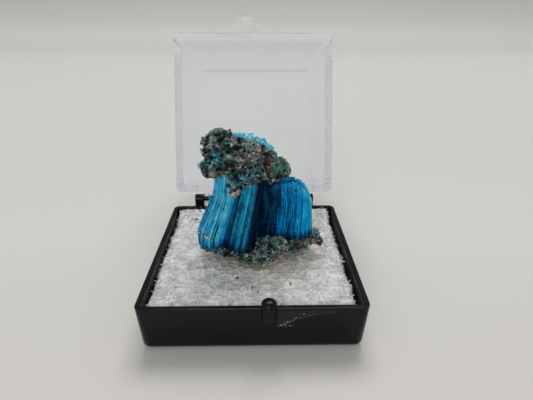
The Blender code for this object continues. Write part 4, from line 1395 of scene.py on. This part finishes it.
def makeDetails():
    size = detailSet
    draw = np.random.default_rng(size["seed"])
    blue = treeOf(*(piece for piece in bpy.data.objects if piece.name.endswith("Fibres")))
    matrix = treeOf(*(piece for piece in bpy.data.objects if piece.name.endswith("Crust")))
    verts, tints, glints = [], [], []

    def crumbAt(place, radius):
        lumps = ball * draw.uniform(0.75, 1.2, (len(ball), 1))
        return lumps * draw.uniform(0.7, 1.2, 3) * radius + place

    def addCrumb(place, radius, tone):
        verts.append(crumbAt(place, radius))
        tints.append(np.tile(np.array(crustTones[tone]) * draw.uniform(0.7, 1.3), (len(ball), 1)))

    strip = []
    for first, second in zip(size["crustStrip"], size["crustStrip"][1:]):
        for share in np.linspace(0, 1, 7):
            strip.append([a + (b - a) * share for a, b in zip(first, second)])
    lump = [size["hangingLump"]]
    for tree, spots, count, spread, radii, tones, shift in (
        (blue, size["darkSpecks"], 3, 0.1, (0.10, 0.2), ["crevice"], 0.0),
        (blue, size["tanSpecks"], 3, 0.1, (0.08, 0.14), ["tan"], 0.0),
        (blue, strip, 1, 0.07, (0.12, 0.24), ["tan", "pinkGrey", "charcoal"], 0.0),
        (blue, size["sideLumps"], 5, 0.12, (0.14, 0.26), ["teal"], -0.22),
        (matrix if sightHits(matrix, lump) else blue, lump, 60, (0.425, 0.175, 0.25), (0.14, 0.3),
         ["tan", "tan", "pinkGrey", "charcoal"], 0.0),
    ):
        for hit in sightHits(tree, spots):
            for _ in range(count):
                tone = tones[draw.integers(len(tones))] if len(tones) > 1 else tones[0]
                place = hit + [shift, 0, 0] + draw.normal(0, 1, 3) * spread
                addCrumb(place, draw.uniform(*radii), tone)
    pad = treeOf(bpy.data.objects["foamPad"])
    for hit in sightHits(pad, size["foamSpecks"]):
        for _ in range(5):
            addCrumb(hit + draw.normal(0, 0.16, 3), 0.13, "darkTeal")
    # pale glossy crumbs on the pad and on the tape scrap stand in for glints: painted glints, bright by their
    # pale colour
    low, high = (np.array(corner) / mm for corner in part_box("foam_insert"))
    for _ in range(size["glints"]):
        x, y = draw.uniform(low[:2] + 1, high[:2] - 1)
        place = pad.ray_cast(Vector((x, y, 20)) * mm, Vector((0, 0, -1)))[0]
        glints.append(crumbAt(np.array(place) / mm, draw.uniform(0.05, 0.1)))
    wall = treeOf(bpy.data.objects["tray"])
    for across, down, radius in size["scrapGlints"]:
        glints.append(crumbAt(np.array(sightHit(wall, across, down)), radius))
    shiny = joinedForms("glints", glints, ballFaces)
    finishPiece(shiny, makeFilm("glintFilm", 0.7), "base", "clear_film")
    specks = joinedForms("specks", verts, ballFaces)
    paintPoints(specks, "tint", np.concatenate(tints))
    finishPiece(specks, crustFinish, "base", "green_grey_crust")

    paths, radii, colours = [], [], []
    for spots in size["strands"]:
        knots = np.array(sightHits(matrix, spots)) + [0, -0.25, 0.1]
        share = np.linspace(0, len(knots) - 1, 14)
        path = np.stack([np.interp(share, range(len(knots)), knots[:, i]) for i in range(3)], 1)
        for _ in range(4):
            path[1:-1] = (path[:-2] + 2 * path[1:-1] + path[2:]) / 4
        paths.append(path)
        radii.append(0.11)
        colours.append(np.array([0.03, 0.16, 0.20]))
    for name, tangles in tangleSet.items():
        for spot, *rest in tangles:
            for hit in sightHits(matrix, [spot]):
                made = makeTangle(*crusts[name], hit, *rest, draw)
                for kept, found in zip((paths, radii, colours), made):
                    kept.extend(found)
    strands = strandsPiece("crustStrands", paths, radii, colours)
    finishPiece(strands, crustFinish, "base", "green_grey_crust")


makeDetails()
print("details are made")
